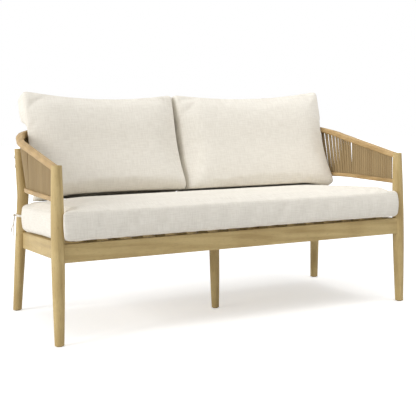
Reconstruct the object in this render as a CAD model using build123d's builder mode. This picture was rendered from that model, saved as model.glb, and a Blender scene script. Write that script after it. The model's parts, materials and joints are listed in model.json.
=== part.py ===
from build123d import *
import math
import os

# Patio loveseat: a turned wooden frame with a rope back, one seat cushion and two back cushions.
# Millimetres. X runs to the sitter's left arm, Y to the back, Z up from the floor.

os.makedirs("parts", exist_ok=True)

# Overall places
post_spacing = 1400
front_y = -330.45
foot_depth = 623
seat_slope = 2.2
fit_gap = 0.2
soft_gap = 0.4
overrun = 30

# Front posts
front_post_h = 596
front_lean = 12
post_foot_d = 32
post_calf_d = 40
post_calf_z = 150
post_seat_d = 44.8
post_seat_z = 308
post_arm_d = 41.2
post_arm_z = 480
post_top_d = 34.6
post_edge = 2.5

# Rear posts
rear_foot_d = 34
rear_calf_d = 38.5
rear_seat_d = 44
rear_knee_z = 460
rear_knee_in = 27.4
rear_knee_forward = 58.5
rear_top_z = 642
rear_top_out = 6.7
rear_top_back = 3
rear_top_d = 36

# Centre leg and stretcher
centre_leg_back = 259
centre_foot_d = 29
centre_top_d = 40
stretcher_w = 40
stretcher_h = 45
leg_tenon_d = 22
leg_tenon_h = 25

# Seat rails
rail_h = 62
rail_t = 24
rail_top = 338
rail_proud = 14.3
tenon_t = 10
tenon_h = 40
tenon_l = 15
cuff_gap = 1.2
side_rail_in = 32
side_rail_x = post_spacing / 2 - side_rail_in
side_rail_rise = 1

# Slats and cleats
slat_count = 15
slat_end_in = 123.9
slat_pitch = (post_spacing - slat_end_in * 2) / (slat_count - 1)
slat_w = 37
slat_t = 15
slat_proud = 8
cleat_w = 20
cleat_h = 20
block_leg = 55
block_h = 32

# Dowels
dowel_d = 8
dowel_l = 36
dowel_spread = 30
pin_d = 6
pin_l = 30
pin_shift = 1.8
pin_in_share = 0.4

# Top rail, which starts behind a front post, rises along the arm and turns the rear corner
top_start_in = 10
top_start_x = post_spacing / 2 - top_start_in
top_start_back = 21.7
top_toe = 2.4
top_bend_in = 248
top_straight = foot_depth - top_bend_in
top_radius = 255
top_start_z = 588
top_bend_z = 661
top_back_z = 716
top_front_w = 24
top_front_h = 19
top_back_w = 27
top_back_h = 26
top_edge = 4
arm_joint_share = 0.2

# Lower rail under the rope
low_toe = 2.4
low_bend_in = 323
low_straight = foot_depth - low_bend_in
low_radius = 265
low_start_z = 483
low_bend_z = 492
low_back_z = 495
low_w = 20
low_h = 16
low_edge = 3
turn_segments = 12

# Rope strands
rope_w = 14
rope_t = 5
rope_bevel = 1.4
rope_bite = 2.9
groove_w = 7
groove_depth = 6
arm_clear = 14
fan_gap = 9
top_fan_mid = 586
arm_strands = 19
fan_strands = 14
back_strands = 29

# Steel uprights behind the rope
upright_w = 20
upright_t = 4
upright_gap = 0.5
upright_lap = 9
back_upright_x = 230
low_run_to_corner = 217
top_run_to_corner = 166
corner_low_run = low_straight + low_run_to_corner
corner_top_run = top_straight + top_run_to_corner
bolt_d = 6
bolt_head_d = 13
bolt_head_h = 3.5
nut_w = 10
nut_h = 4.5
bolt_heights = (575, 610)
spacer_d = 12
small_screw_d = 4
small_screw_l = 15
small_head_d = 8
small_head_h = 2

# Seat cushion
seat_side_in = 39
seat_front_out = 20.55
seat_rear_in = 21.55
seat_w = post_spacing - seat_side_in * 2
seat_front = front_y - seat_front_out
seat_rear = front_y + foot_depth - seat_rear_in
seat_t = 104
seat_corner_r = 26
seat_rear_r = 84
seat_draw = 5
seat_crown = 28
seat_crown_reach = 180
seat_roll = 16
crown_shares = (0.25, 0.6, 1)
seat_corner_share = 0.1
seat_wing_out = 29
seat_wing_front = 50
seat_wing_rear = 61
seat_wing_r = 22

# Back cushions
back_lean = 15.5
back_rear_in = 51.05
back_rear_y = front_y + foot_depth - back_rear_in
back_base_z = 447
back_base_share = 0.161
back_t = 148
back_top = 391
back_crown = 25
back_roll = 9
back_level_shares = ((0, 0.85), (0.5, 0.36), (0.85, 0.09), (1, 0))
back_corner_share = 0.3
back_side_draw = 9
back_top_draw = 26
back_base_draw = 3
back_corner_r = 20
room_gap = 6
room_flare = 120
room_flare_h = 50
left_side_in = 45
left_seam_x = -42
right_side_in = 55
right_seam_x = -36
left_cushion_x = (left_side_in - post_spacing / 2, left_seam_x)
right_cushion_x = (right_seam_x, post_spacing / 2 - right_side_in)

# Ties of the seat cushion
tie_z = 384
tie_h = 9
tie_t = 1.4
tie_gap = 0.4
knot_d = 13
tail_d = 4
tail_segment = 22
tail_step = 8
tie_heading_share = 0.48
knot_share = 0.75
bend_share = 0.45
tail_beside_share = 0.35
long_tail_shares = ((0.3, -0.25, 1), (1.5, -0.9, 0.9), (0.8, -1.2, 1))
short_tail_shares = ((0.1, 0.7, 1.1), (0.1, 0.2, 1.1), (-0.1, 0.8, 1.1))

# Feet
glide_d = 20
glide_h = 3

turning_steps = 8

sides = {"left": -1, "right": 1}
rear_foot_y = front_y + foot_depth
slope_tan = math.tan(math.radians(seat_slope))
rail_front_y = front_y - rail_proud
rail_back_y = rail_front_y + rail_t


def seat_drop(y):
    """How far the sloping seat lies below its height at the front rail."""
    return (y - rail_front_y) * slope_tan


def front_axis(z):
    """The centre of the right front post at a height."""
    return Vector(post_spacing / 2 - front_lean * z / front_post_h, front_y, z)


def rear_axis(z):
    """The centre of the right rear post at a height, bent at the knee."""
    if z <= rear_knee_z:
        share = z / rear_knee_z
        return Vector(post_spacing / 2 - rear_knee_in * share, rear_foot_y - rear_knee_forward * share, z)
    share = (z - rear_knee_z) / (rear_top_z - rear_knee_z)
    knee = rear_axis(rear_knee_z)
    return knee + Vector(rear_top_out * share, rear_top_back * share, z - rear_knee_z)


def swell(stations, z):
    """A turned diameter at a height, on a smooth curve through (height, diameter) stations."""
    total = 0
    for z_i, d_i in stations:
        weight = 1
        for z_j, d_j in stations:
            if z_j != z_i:
                weight *= (z - z_j) / (z_i - z_j)
        total += d_i * weight
    return total


def turned(start, direction, stations, low, high):
    """A solid turned about an axis in short tapers, from one distance along the axis to another."""
    side_dir = direction.cross(Vector(0, 1, 0)).normalized()
    half = Plane(start, x_dir=side_dir, z_dir=side_dir.cross(direction))
    steps = [low + (high - low) * n / turning_steps for n in range(turning_steps + 1)]
    with BuildPart() as turning:
        with BuildSketch(half):
            with BuildLine():
                Polyline((0, low), *[(swell(stations, z) / 2, z) for z in steps], (0, high), close=True)
            make_face()
        revolve(axis=Axis(start, direction))
    return turning.part


def flip(point, side):
    """The same point on the other half of the seat when side is -1."""
    return Vector(point.X * side, point.Y, point.Z)


def mirrored(part):
    """The left hand copy of a right hand piece."""
    with BuildPart() as copy:
        mirror(part, about=Plane.YZ)
    return copy.part


def save(part, name):
    """Label a finished piece and write it under its own name."""
    part.label = name
    export_step(part, f"parts/{name}.step")


def save_pair(part, name):
    """Write a right hand piece and its mirror image."""
    save(part, f"right_{name}")
    save(mirrored(part), f"left_{name}")


def cut_round(point, direction, length, diameter):
    """Bore a round hole that starts at a point and runs along a direction."""
    with Locations(Plane(point, z_dir=direction)):
        Cylinder(diameter / 2, length, align=(Align.CENTER, Align.CENTER, Align.MIN), mode=Mode.SUBTRACT)


def add_round(point, direction, length, diameter):
    """Add a round peg that starts at a point and runs along a direction."""
    with Locations(Plane(point, z_dir=direction)):
        Cylinder(diameter / 2, length, align=(Align.CENTER, Align.CENTER, Align.MIN))


# Front posts: one turned profile, round its leaning axis
front_axis_dir = (front_axis(front_post_h) - front_axis(0)).normalized()
front_rail_mid_y = (rail_front_y + rail_back_y) / 2
front_rail_mid_z = rail_top - rail_h / 2
front_post_at_rail = front_axis(front_rail_mid_z)
front_tenon_end = front_post_at_rail.X - post_seat_d / 2 + tenon_l

front_stations = ((0, post_foot_d), (post_calf_z, post_calf_d), (post_seat_z, post_seat_d),
                  (post_arm_z, post_arm_d), (front_post_h, post_top_d))

with BuildPart() as front_post:
    add(turned(front_axis(0), front_axis_dir, front_stations, -post_foot_d / 2, front_post_h))
    split(bisect_by=Plane.XY.offset(glide_h), keep=Keep.TOP)
    fillet(front_post.faces().sort_by(Axis.Z)[-1].edges(), post_edge)
    with Locations((front_tenon_end, front_rail_mid_y, front_rail_mid_z)):
        Box(tenon_l * 2, tenon_t + fit_gap, tenon_h + fit_gap,
            align=(Align.MAX, Align.CENTER, Align.CENTER), mode=Mode.SUBTRACT)


# Rear posts: two turned lengths that meet at the knee
def rear_d(z):
    """The rear post's diameter at a height above the knee, where its taper is straight."""
    share = max(z - rear_knee_z, 0) / (rear_top_z - rear_knee_z)
    return rear_seat_d + (rear_top_d - rear_seat_d) * share


rear_rail_top = rail_top - seat_drop(rear_foot_y)
rear_rail_mid_z = rear_rail_top - rail_h / 2
rear_post_at_rail = rear_axis(rear_rail_mid_z)
rear_rail_mid_y = rear_post_at_rail.Y
rear_rail_front_y = rear_rail_mid_y - rail_t / 2
rear_tenon_end = rear_post_at_rail.X - rear_seat_d / 2 + tenon_l

rear_axis_dir = (rear_axis(rear_knee_z) - rear_axis(0)).normalized()
rear_top_dir = (rear_axis(rear_top_z) - rear_axis(rear_knee_z)).normalized()
rear_knee = rear_axis(rear_knee_z)
lower_l = (rear_knee - rear_axis(0)).length
upper_l = (rear_axis(rear_top_z) - rear_knee).length
rear_cuff = rear_seat_d / 2
rear_dowel_x = side_rail_x + rail_t / 8
rear_dowel_end = rear_rail_mid_y - tenon_t / 2 - cuff_gap


rear_low_stations = ((0, rear_foot_d), (post_calf_z, rear_calf_d), (lower_l, rear_seat_d))
rear_top_stations = ((0, rear_seat_d), (upper_l, rear_top_d))

with BuildPart() as rear_post:
    add(turned(rear_axis(0), rear_axis_dir, rear_low_stations, -rear_cuff / 2, lower_l))
    with Locations(rear_knee):
        Sphere(rear_cuff)
    add(turned(rear_knee, rear_top_dir, rear_top_stations, 0, upper_l + rear_cuff / 2))
    split(bisect_by=Plane.XY.offset(glide_h), keep=Keep.TOP)
    split(bisect_by=Plane.XY.offset(rear_top_z), keep=Keep.BOTTOM)
    fillet(rear_post.faces().sort_by(Axis.Z)[-1].edges(), post_edge / 2)
    with Locations((rear_tenon_end, rear_rail_mid_y, rear_rail_mid_z)):
        Box(tenon_l * 2, tenon_t + fit_gap, tenon_h + fit_gap,
            align=(Align.MAX, Align.CENTER, Align.CENTER), mode=Mode.SUBTRACT)
    for rise in (-dowel_spread / 2, dowel_spread / 2):
        cut_round(Vector(rear_dowel_x, rear_dowel_end + fit_gap, rear_rail_mid_z + rise), (0, -1, 0),
                  dowel_l + fit_gap * 2, dowel_d + fit_gap)


# Front and rear seat rails: scribed round the posts, with a tenon into each
side_dowel_z = dowel_spread / 2
side_dowel_x = side_rail_x - rail_t / 6


def cross_rail(mid_y, mid_z, post, post_dir, post_d, tenon_end, dowel_dir):
    """A seat rail from post to post, with its tenons and dowel holes."""
    with BuildPart() as rail:
        with Locations((0, mid_y, mid_z)):
            Box(post.X * 2, rail_t, rail_h)
        fillet(rail.edges().filter_by(Axis.X), post_edge)
        for side in sides.values():
            centre = flip(post, side) - flip(post_dir, side) * rail_h
            cut_round(centre, flip(post_dir, side), rail_h * 2, post_d + fit_gap * 2)
            with Locations((side * (tenon_end - fit_gap), mid_y, mid_z)):
                Box(tenon_l * 2, tenon_t, tenon_h,
                    align=(Align.MAX if side > 0 else Align.MIN, Align.CENTER, Align.CENTER))
            for rise in (-side_dowel_z, side_dowel_z):
                start = Vector(side * side_dowel_x, mid_y + dowel_dir * rail_t / 2, mid_z + rise)
                if dowel_dir > 0:
                    cut_round(start, (0, -dowel_dir, 0), dowel_l / 3 + fit_gap, dowel_d + fit_gap)
        for rise in (-side_dowel_z / 2, side_dowel_z / 2):
            start = Vector(0, mid_y + dowel_dir * rail_t / 2, mid_z + rise)
            cut_round(start, (0, -dowel_dir, 0), dowel_l / 3 + fit_gap, dowel_d + fit_gap)
    return rail.part


front_rail = cross_rail(front_rail_mid_y, front_rail_mid_z, front_post_at_rail, front_axis_dir,
                        post_seat_d, front_tenon_end, 1)
rear_rail = cross_rail(rear_rail_mid_y, rear_rail_mid_z, rear_post_at_rail, rear_axis_dir,
                       rear_seat_d, rear_tenon_end, -1)


# Side rails and the centre stretcher, which follow the seat's slope
run_start = rail_back_y + fit_gap
run_end = rear_rail_front_y - fit_gap


def sloping_bar(x, width, top, height):
    """A bar from front rail to rear rail whose top lies in the seat's slope."""
    with BuildSketch(Plane.YZ.offset(x - width / 2)) as profile:
        with BuildLine():
            Polyline(
                (run_start, top - seat_drop(run_start)),
                (run_end, top - seat_drop(run_end)),
                (run_end, top - height - seat_drop(run_end)),
                (run_start, top - height - seat_drop(run_start)),
                close=True,
            )
        make_face()
    extrude(profile.sketch, amount=width)


with BuildPart() as side_rail:
    sloping_bar(side_rail_x, rail_t, rail_top + side_rail_rise, rail_h)
    outer_edges = side_rail.faces().sort_by(Axis.X)[-1].edges()
    fillet(outer_edges.filter_by(Axis.X, reverse=True).sort_by(Axis.Z)[-1], post_edge)
    front_foot = front_axis(0)
    cut_round(front_foot, front_axis_dir, front_post_h, post_seat_d + fit_gap * 2)
    cut_round(rear_axis(0), rear_axis_dir, rear_knee_z, rear_seat_d + fit_gap * 2)
    for rise in (-side_dowel_z, side_dowel_z):
        cut_round(Vector(side_dowel_x, run_start, front_rail_mid_z + rise), (0, 1, 0),
                  dowel_l * 2 / 3 + fit_gap, dowel_d + fit_gap)
        cut_round(Vector(rear_dowel_x, rear_dowel_end, rear_rail_mid_z + rise), (0, -1, 0),
                  dowel_l + fit_gap, dowel_d + fit_gap)

slat_top = rail_top + slat_proud
slat_bottom = slat_top - slat_t
centre_leg_y = front_y + centre_leg_back
stretcher_under = slat_bottom - fit_gap - stretcher_h
leg_top_z = stretcher_under - seat_drop(centre_leg_y + centre_top_d / 2) - fit_gap

with BuildPart() as centre_stretcher:
    sloping_bar(0, stretcher_w, slat_bottom - fit_gap, stretcher_h)
    for rise in (-side_dowel_z / 2, side_dowel_z / 2):
        cut_round(Vector(0, run_start, front_rail_mid_z + rise), (0, 1, 0),
                  dowel_l * 2 / 3 + fit_gap, dowel_d + fit_gap)
        cut_round(Vector(0, run_end, rear_rail_mid_z + rise), (0, -1, 0),
                  dowel_l * 2 / 3 + fit_gap, dowel_d + fit_gap)
    cut_round(Vector(0, centre_leg_y, leg_top_z), (0, 0, 1),
              leg_tenon_h + fit_gap * 2, leg_tenon_d + fit_gap)

leg_swell = (centre_foot_d + centre_top_d) / 2 + post_edge
leg_stations = ((0, centre_foot_d), (leg_top_z / 2, leg_swell), (leg_top_z, centre_top_d))

with BuildPart() as centre_leg:
    add(turned(Vector(0, centre_leg_y, 0), Vector(0, 0, 1), leg_stations, glide_h, leg_top_z))
    add_round(Vector(0, centre_leg_y, leg_top_z), (0, 0, 1), leg_tenon_h, leg_tenon_d)


# Dowels of the seat frame
front_dowel_y = rail_back_y - dowel_l / 3
rear_dowel_y = rear_rail_front_y + dowel_l / 3
with BuildPart() as frame_dowels:
    for side in sides.values():
        for rise in (-side_dowel_z, side_dowel_z):
            add_round(Vector(side * side_dowel_x, front_dowel_y, front_rail_mid_z + rise), (0, 1, 0),
                      dowel_l, dowel_d)
            add_round(Vector(side * rear_dowel_x, rear_dowel_end, rear_rail_mid_z + rise), (0, -1, 0),
                      dowel_l, dowel_d)
    for rise in (-side_dowel_z / 2, side_dowel_z / 2):
        add_round(Vector(0, front_dowel_y, front_rail_mid_z + rise), (0, 1, 0), dowel_l, dowel_d)
        add_round(Vector(0, rear_dowel_y, rear_rail_mid_z + rise), (0, -1, 0), dowel_l, dowel_d)


# Cleats inside the front and rear rails carry the slats
side_inner_x = side_rail_x - rail_t / 2
cleat_end = side_inner_x - fit_gap


def cleat(face_y, toward):
    """A ledger from side rail to side rail, left open at the stretcher."""
    near, far = sorted((face_y + toward * fit_gap, face_y + toward * cleat_w))
    with BuildPart() as strip:
        for side in sides.values():
            with BuildSketch(Plane.YZ.offset(side * (cleat_end + stretcher_w / 2 + fit_gap) / 2)):
                with BuildLine():
                    Polyline(
                        (near, slat_bottom - seat_drop(near)),
                        (far, slat_bottom - seat_drop(far)),
                        (far, slat_bottom - cleat_h - seat_drop(far)),
                        (near, slat_bottom - cleat_h - seat_drop(near)),
                        close=True,
                    )
                make_face()
            extrude(amount=(cleat_end - stretcher_w / 2 - fit_gap) / 2, both=True)
    return strip.part


front_cleat = cleat(rail_back_y, 1)
rear_cleat = cleat(rear_rail_front_y, -1)

with BuildPart() as seat_slats:
    for index in range(slat_count):
        x = (index - (slat_count - 1) / 2) * slat_pitch
        sloping_bar(x, slat_w, slat_top, slat_t)

# Corner blocks glued into the four corners of the seat frame, under the cleats
block_top = slat_bottom - cleat_h - fit_gap


def corner_block(y, toward, top):
    """A triangular block with its square corner in the rails' corner."""
    with BuildPart() as block:
        with BuildSketch(Plane.XY.offset(top - block_h)):
            with BuildLine():
                Polyline(
                    (side_inner_x - fit_gap, y),
                    (side_inner_x - fit_gap - block_leg, y),
                    (side_inner_x - fit_gap, y + toward * block_leg),
                    close=True,
                )
            make_face()
        extrude(amount=block_h)
    return block.part


front_block = corner_block(rail_back_y + fit_gap, 1, block_top - seat_drop(rail_back_y + cleat_w))
rear_block = corner_block(rear_rail_front_y - fit_gap, -1, block_top - seat_drop(rear_rail_front_y))


# Foot glides under all five legs
glide_points = [flip(front_axis(0), side) for side in sides.values()]
glide_points += [flip(rear_axis(0), side) for side in sides.values()]
glide_points += [Vector(0, centre_leg_y, 0)]

with BuildPart() as foot_glides:
    for point in glide_points:
        add_round(point, (0, 0, 1), glide_h, glide_d)


# The plan of the two curved rails: straight along the arm, then a quarter turn, then the back
def plan_point(toe, straight, radius, run):
    """A point and heading on the right half of a rail's plan, at a run from its front end."""
    heading = math.radians(toe)
    ahead = Vector(math.sin(heading), math.cos(heading), 0)
    inward = Vector(-math.cos(heading), math.sin(heading), 0)
    start = Vector(top_start_x, front_y + top_start_back, 0)
    if run <= straight:
        return start + ahead * run, ahead
    centre = start + ahead * straight + inward * radius
    turned = min((run - straight) / radius, math.pi / 2 + heading)
    point = centre - (inward * math.cos(turned) - ahead * math.sin(turned)) * radius
    direction = ahead * math.cos(turned) + inward * math.sin(turned)
    left_over = run - straight - radius * (math.pi / 2 + heading)
    if left_over > 0:
        point = point + direction * left_over
    return point, direction


def arc_end(toe, straight, radius):
    """The run at which the quarter turn ends."""
    return straight + radius * (math.pi / 2 + math.radians(toe))


top_arc_end = arc_end(top_toe, top_straight, top_radius)
low_arc_end = arc_end(low_toe, low_straight, low_radius)
top_half = top_arc_end + plan_point(top_toe, top_straight, top_radius, top_arc_end)[0].X
low_half = low_arc_end + plan_point(low_toe, low_straight, low_radius, low_arc_end)[0].X


def eased(share):
    """A share from 0 to 1 that slows down towards its end."""
    share = min(max(share, 0), 1)
    return share * (2 - share)


def rail_height(run, straight, end, start_z, bend_z, back_z):
    """The height of a rail's centre at a run: a straight rise, then an easing one."""
    if run <= straight:
        return start_z + (bend_z - start_z) * run / straight
    return bend_z + (back_z - bend_z) * eased((run - straight) / (end - straight))


def top_centre(run):
    point, heading = plan_point(top_toe, top_straight, top_radius, run)
    z = rail_height(run, top_straight, top_arc_end, top_start_z, top_bend_z, top_back_z)
    return point + Vector(0, 0, z), heading


def low_centre(run):
    point, heading = plan_point(low_toe, low_straight, low_radius, run)
    z = rail_height(run, low_straight, low_arc_end, low_start_z, low_bend_z, low_back_z)
    return point + Vector(0, 0, z), heading


# Each zone of rope: its runs on the lower rail and on the top rail, and its strands
low_fan_mid = (low_straight + low_arc_end) / 2
zones = (
    (arm_clear, low_straight, arm_clear, low_straight, arm_strands, 0),
    (low_straight, low_fan_mid, low_straight, top_fan_mid, fan_strands, fan_gap),
    (low_fan_mid, low_arc_end, top_fan_mid, top_arc_end, fan_strands, 0),
    (low_arc_end, low_half, top_arc_end, top_half, back_strands, 0),
)


def partner(run, own, other):
    """The run on the other rail that the rope joins to a run on this one."""
    for zone in zones:
        if run <= zone[own + 1] or zone is zones[-1]:
            share = (run - zone[own]) / (zone[own + 1] - zone[own])
            return zone[other] + share * (zone[other + 1] - zone[other])


def frame_at(centre, heading, across):
    """Unit vectors out of the seat and up the rope for a rail that leans with the rope."""
    out = Vector(heading.Y, -heading.X, 0)
    lean = math.atan2(across.dot(out), across.Z)
    up = Vector(0, 0, 1)
    return out * math.cos(lean) - up * math.sin(lean), out * math.sin(lean) + up * math.cos(lean)


def top_frame(run):
    centre, heading = top_centre(run)
    across = centre - low_centre(partner(run, 2, 0))[0]
    return (centre, heading) + frame_at(centre, heading, across)


def low_frame(run):
    centre, heading = low_centre(run)
    across = top_centre(partner(run, 0, 2))[0] - centre
    return (centre, heading) + frame_at(centre, heading, across)


def top_size(run):
    """Width and height of the top rail at a run: it thickens towards the corner."""
    share = min(max(run / top_arc_end, 0), 1)
    width = top_front_w + (top_back_w - top_front_w) * share
    return (width, top_front_h + (top_back_h - top_front_h) * share)


def rail_stations(straight, end):
    """Runs of the sections that a curved rail is drawn through."""
    runs = [-top_start_back, low_straight]
    if straight > low_straight:
        runs += [(low_straight + straight) / 2, straight]
    return runs + [straight + (end - straight) * n / turn_segments for n in range(1, turn_segments + 1)]


def section_plane(frame_of, run):
    """The plane across a rail at a run, x out of the seat and y down the rope."""
    centre, heading, out, up = frame_of(run)
    ahead, behind = frame_of(run + fit_gap / 10)[0], frame_of(run - fit_gap / 10)[0]
    return Plane(centre, x_dir=out, z_dir=ahead - behind), up


def curved_rail(frame_of, size_of, edge, straight, end, groove_side):
    """A rail from behind the front post to the end of the corner, grooved for the rope."""
    with BuildPart() as rail:
        for run in rail_stations(straight, end):
            plane, up = section_plane(frame_of, run)
            with BuildSketch(plane):
                outline = Rectangle(*size_of(run))
                chamfer(outline.vertices(), edge)
        loft(ruled=True)
        for run in rail_stations(straight, end):
            plane, up = section_plane(frame_of, run)
            height = size_of(run)[1]
            middle = plane.origin + up * (groove_side * height / 2)
            with BuildSketch(Plane(middle, x_dir=plane.x_dir, z_dir=plane.z_dir)):
                Rectangle(groove_w, groove_depth * 2)
        loft(ruled=True, mode=Mode.SUBTRACT)
        cut_round(front_axis(0), front_axis_dir, front_post_h + overrun, arm_cut_d[groove_side])
        plane, up = section_plane(frame_of, end)
        pin_centre = frame_of(end)[0] - up * (groove_side * pin_shift)
        cut_round(pin_centre - Vector(fit_gap, 0, 0), (1, 0, 0), pin_l / 2 + fit_gap * 2, pin_d + fit_gap)
    return rail.part


arm_joint_d = post_top_d + (post_arm_d - post_top_d) * arm_joint_share
arm_cut_d = {-1: arm_joint_d + fit_gap * 2, 1: post_arm_d + fit_gap * 2}


def straight_rail(frame_of, size_of, edge, end, groove_side):
    """The back length of a rail, between the two corners."""
    plane, up = section_plane(frame_of, end + overrun)
    length = frame_of(end)[0].X - fit_gap / 2
    height = size_of(end)[1]
    flat = Plane((length, plane.origin.Y, plane.origin.Z), x_dir=plane.x_dir, z_dir=(-1, 0, 0))
    with BuildPart() as rail:
        with BuildSketch(flat):
            outline = Rectangle(*size_of(end))
            chamfer(outline.vertices(), edge)
        extrude(amount=length * 2)
        middle = flat.origin + up * (groove_side * height / 2)
        with BuildSketch(Plane(middle, x_dir=flat.x_dir, z_dir=flat.z_dir)):
            Rectangle(groove_w, groove_depth * 2)
        extrude(amount=length * 2, mode=Mode.SUBTRACT)
        for side in sides.values():
            pin_centre = Vector(side * length, flat.origin.Y, flat.origin.Z) - up * (groove_side * pin_shift)
            cut_round(pin_centre, (-side, 0, 0), pin_l / 2 + fit_gap, pin_d + fit_gap)
    return rail.part


def low_size(run):
    """The lower rail keeps one section."""
    return (low_w, low_h)


arm_rail = curved_rail(top_frame, top_size, top_edge, top_straight, top_arc_end, -1)
lower_rail = curved_rail(low_frame, low_size, low_edge, low_straight, low_arc_end, 1)
back_top_rail = straight_rail(top_frame, top_size, top_edge, top_arc_end, -1)
back_lower_rail = straight_rail(low_frame, low_size, low_edge, low_arc_end, 1)

with BuildPart() as rail_dowels:
    for frame_of, end, groove_side in ((top_frame, top_arc_end, -1), (low_frame, low_arc_end, 1)):
        centre, heading, out, up = frame_of(end)
        add_round(centre - up * (groove_side * pin_shift) - Vector(pin_l / 2, 0, 0), (1, 0, 0), pin_l, pin_d)
    mirror(about=Plane.YZ)


# Rope: each strand is a flat length from groove to groove
def strand(low_run, top_run):
    """One strand, a bevelled flat section drawn from the lower rail to the top rail."""
    low_mid, low_heading, low_out, low_up = low_frame(low_run)
    top_mid, top_heading, top_out, top_up = top_frame(top_run)
    foot = low_mid + low_up * (low_h / 2)
    head = top_mid - top_up * (top_size(top_run)[1] / 2)
    along = (head - foot).normalized()
    ends = []
    for point, heading in ((foot - along * rope_bite, low_heading), (head + along * rope_bite, top_heading)):
        with BuildSketch(Plane(point, x_dir=heading, z_dir=along)) as end:
            outline = Rectangle(rope_w, rope_t)
            chamfer(outline.vertices(), rope_bevel)
        ends.append(end.sketch)
    loft(ends)


def zone_strands(zone):
    """All the strands of one zone on the right half of the seat."""
    low_start, low_end, top_start, top_end, count, gap = zone
    low_pitch = (low_end - low_start) / count
    top_pitch = (top_end - top_start - gap) / count
    with BuildPart() as rope:
        for index in range(count):
            strand(low_start + (index * 2 + 1) * low_pitch / 2, top_start + gap + (index * 2 + 1) * top_pitch / 2)
    return rope.part


arm_rope = zone_strands(zones[0])
with BuildPart() as corner_rope:
    add(zone_strands(zones[1]))
    add(zone_strands(zones[2]))
with BuildPart() as back_rope:
    add(zone_strands(zones[3]))
    mirror(about=Plane.YZ)


# Steel uprights on the outer faces of the rails carry the rope back
def outer_point(frame_of, size_of, run, depth):
    """A point a given depth outside a rail's outer face."""
    centre, heading, out, up = frame_of(run)
    return centre + out * (size_of(run)[0] / 2 + depth), heading


def corner_bar(low_depth, thickness):
    """The corner upright as a flat bar, twisted a little from the lower rail to the top rail."""
    foot, low_heading = outer_point(low_frame, low_size, corner_low_run, low_depth)
    head, top_heading = outer_point(top_frame, top_size, corner_top_run, low_depth)
    along = (head - foot).normalized()
    ends = []
    for point, heading in ((foot - along * upright_lap, low_heading), (head + along * upright_lap, top_heading)):
        with BuildSketch(Plane(point, x_dir=heading, z_dir=along)) as end:
            Rectangle(upright_w, thickness)
        ends.append(end.sketch)
    with BuildPart() as bar:
        loft(ends)
    return bar.part


bar_depth = upright_gap + upright_t / 2
bar_foot = outer_point(low_frame, low_size, corner_low_run, bar_depth)[0]
bar_head = outer_point(top_frame, top_size, corner_top_run, bar_depth)[0]


def bar_at(z):
    """The middle of the corner upright at a height."""
    return bar_foot + (bar_head - bar_foot) * ((z - bar_foot.Z) / (bar_head.Z - bar_foot.Z))


def bolt_line(z):
    """Where a post bolt starts on the upright, and its level heading to the post's axis."""
    start = bar_at(z)
    toward = rear_axis(z) - start
    return start, Vector(toward.X, toward.Y, 0).normalized(), toward.length


def rail_screw(frame_of, size_of, run):
    """The head and heading of a small screw through an upright into a rail."""
    centre, heading, out, up = frame_of(run)
    return centre + out * (size_of(run)[0] / 2 + upright_gap * 2 + upright_t), out * -1


right_screws = [
    rail_screw(low_frame, low_size, corner_low_run),
    rail_screw(top_frame, top_size, corner_top_run),
    rail_screw(low_frame, low_size, low_half - back_upright_x),
    rail_screw(top_frame, top_size, top_half - back_upright_x),
]

with BuildPart() as corner_upright:
    add(corner_bar(bar_depth, upright_t))
    for z in bolt_heights:
        start, toward, reach = bolt_line(z)
        cut_round(start - toward * upright_w, toward, upright_w * 2, bolt_d + fit_gap * 2)
    for head, inward in right_screws[:2]:
        cut_round(head - inward * upright_w, inward, upright_w * 2, small_screw_d + fit_gap * 2)

with BuildPart() as post_spacers:
    for z in bolt_heights:
        start, toward, reach = bolt_line(z)
        add_round(start, toward, reach, spacer_d)
    for z in bolt_heights:
        start, toward, reach = bolt_line(z)
        cut_round(start - toward * upright_w, toward, reach * 2, bolt_d + fit_gap * 2)
    add(corner_bar(bar_depth, upright_t + fit_gap * 2), mode=Mode.SUBTRACT)
    for z in bolt_heights:
        cut_round(rear_axis(z) - rear_top_dir * spacer_d, rear_top_dir,
                  spacer_d * 2, rear_d(z - spacer_d) + fit_gap)
    mirror(about=Plane.YZ)

with BuildPart() as post_bolts:
    for z in bolt_heights:
        start, toward, reach = bolt_line(z)
        shaft_start = start - toward * (upright_t + nut_h)
        head = rear_axis(z) + toward * (rear_d(z - bolt_head_d / 2) / 2 + fit_gap)
        add_round(shaft_start, toward, (head - shaft_start).length + bolt_head_h / 2, bolt_d)
        add_round(head, toward, bolt_head_h, bolt_head_d)
    mirror(about=Plane.YZ)

with BuildPart() as post_nuts:
    for z in bolt_heights:
        start, toward, reach = bolt_line(z)
        with BuildSketch(Plane(start - toward * (upright_t + fit_gap), x_dir=(0, 0, 1), z_dir=toward * -1)):
            RegularPolygon(nut_w / 2, 6, major_radius=False)
        extrude(amount=nut_h)
    for z in bolt_heights:
        start, toward, reach = bolt_line(z)
        cut_round(start - toward * upright_w, toward, upright_w * 2, bolt_d + fit_gap)
    mirror(about=Plane.YZ)

# The two back uprights reach down to the rear seat rail, with a bend at the lower rail
low_face = outer_point(low_frame, low_size, low_half, upright_gap)[0]
top_face = outer_point(top_frame, top_size, top_half, upright_gap)[0]
lean_dir = (top_face - low_face).normalized()
rear_face_y = rear_rail_mid_y + rail_t / 2 + fit_gap
strap_top = top_face + lean_dir * (top_back_h / 2)
strap_knee = low_face - lean_dir * upright_lap
strap_foot_z = rear_rail_mid_z - rail_h / 3
strap_rail_z = rear_rail_top + fit_gap
back_screws = [(Vector(back_upright_x, rear_face_y + upright_t, rear_rail_mid_z), Vector(0, -1, 0))]

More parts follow.
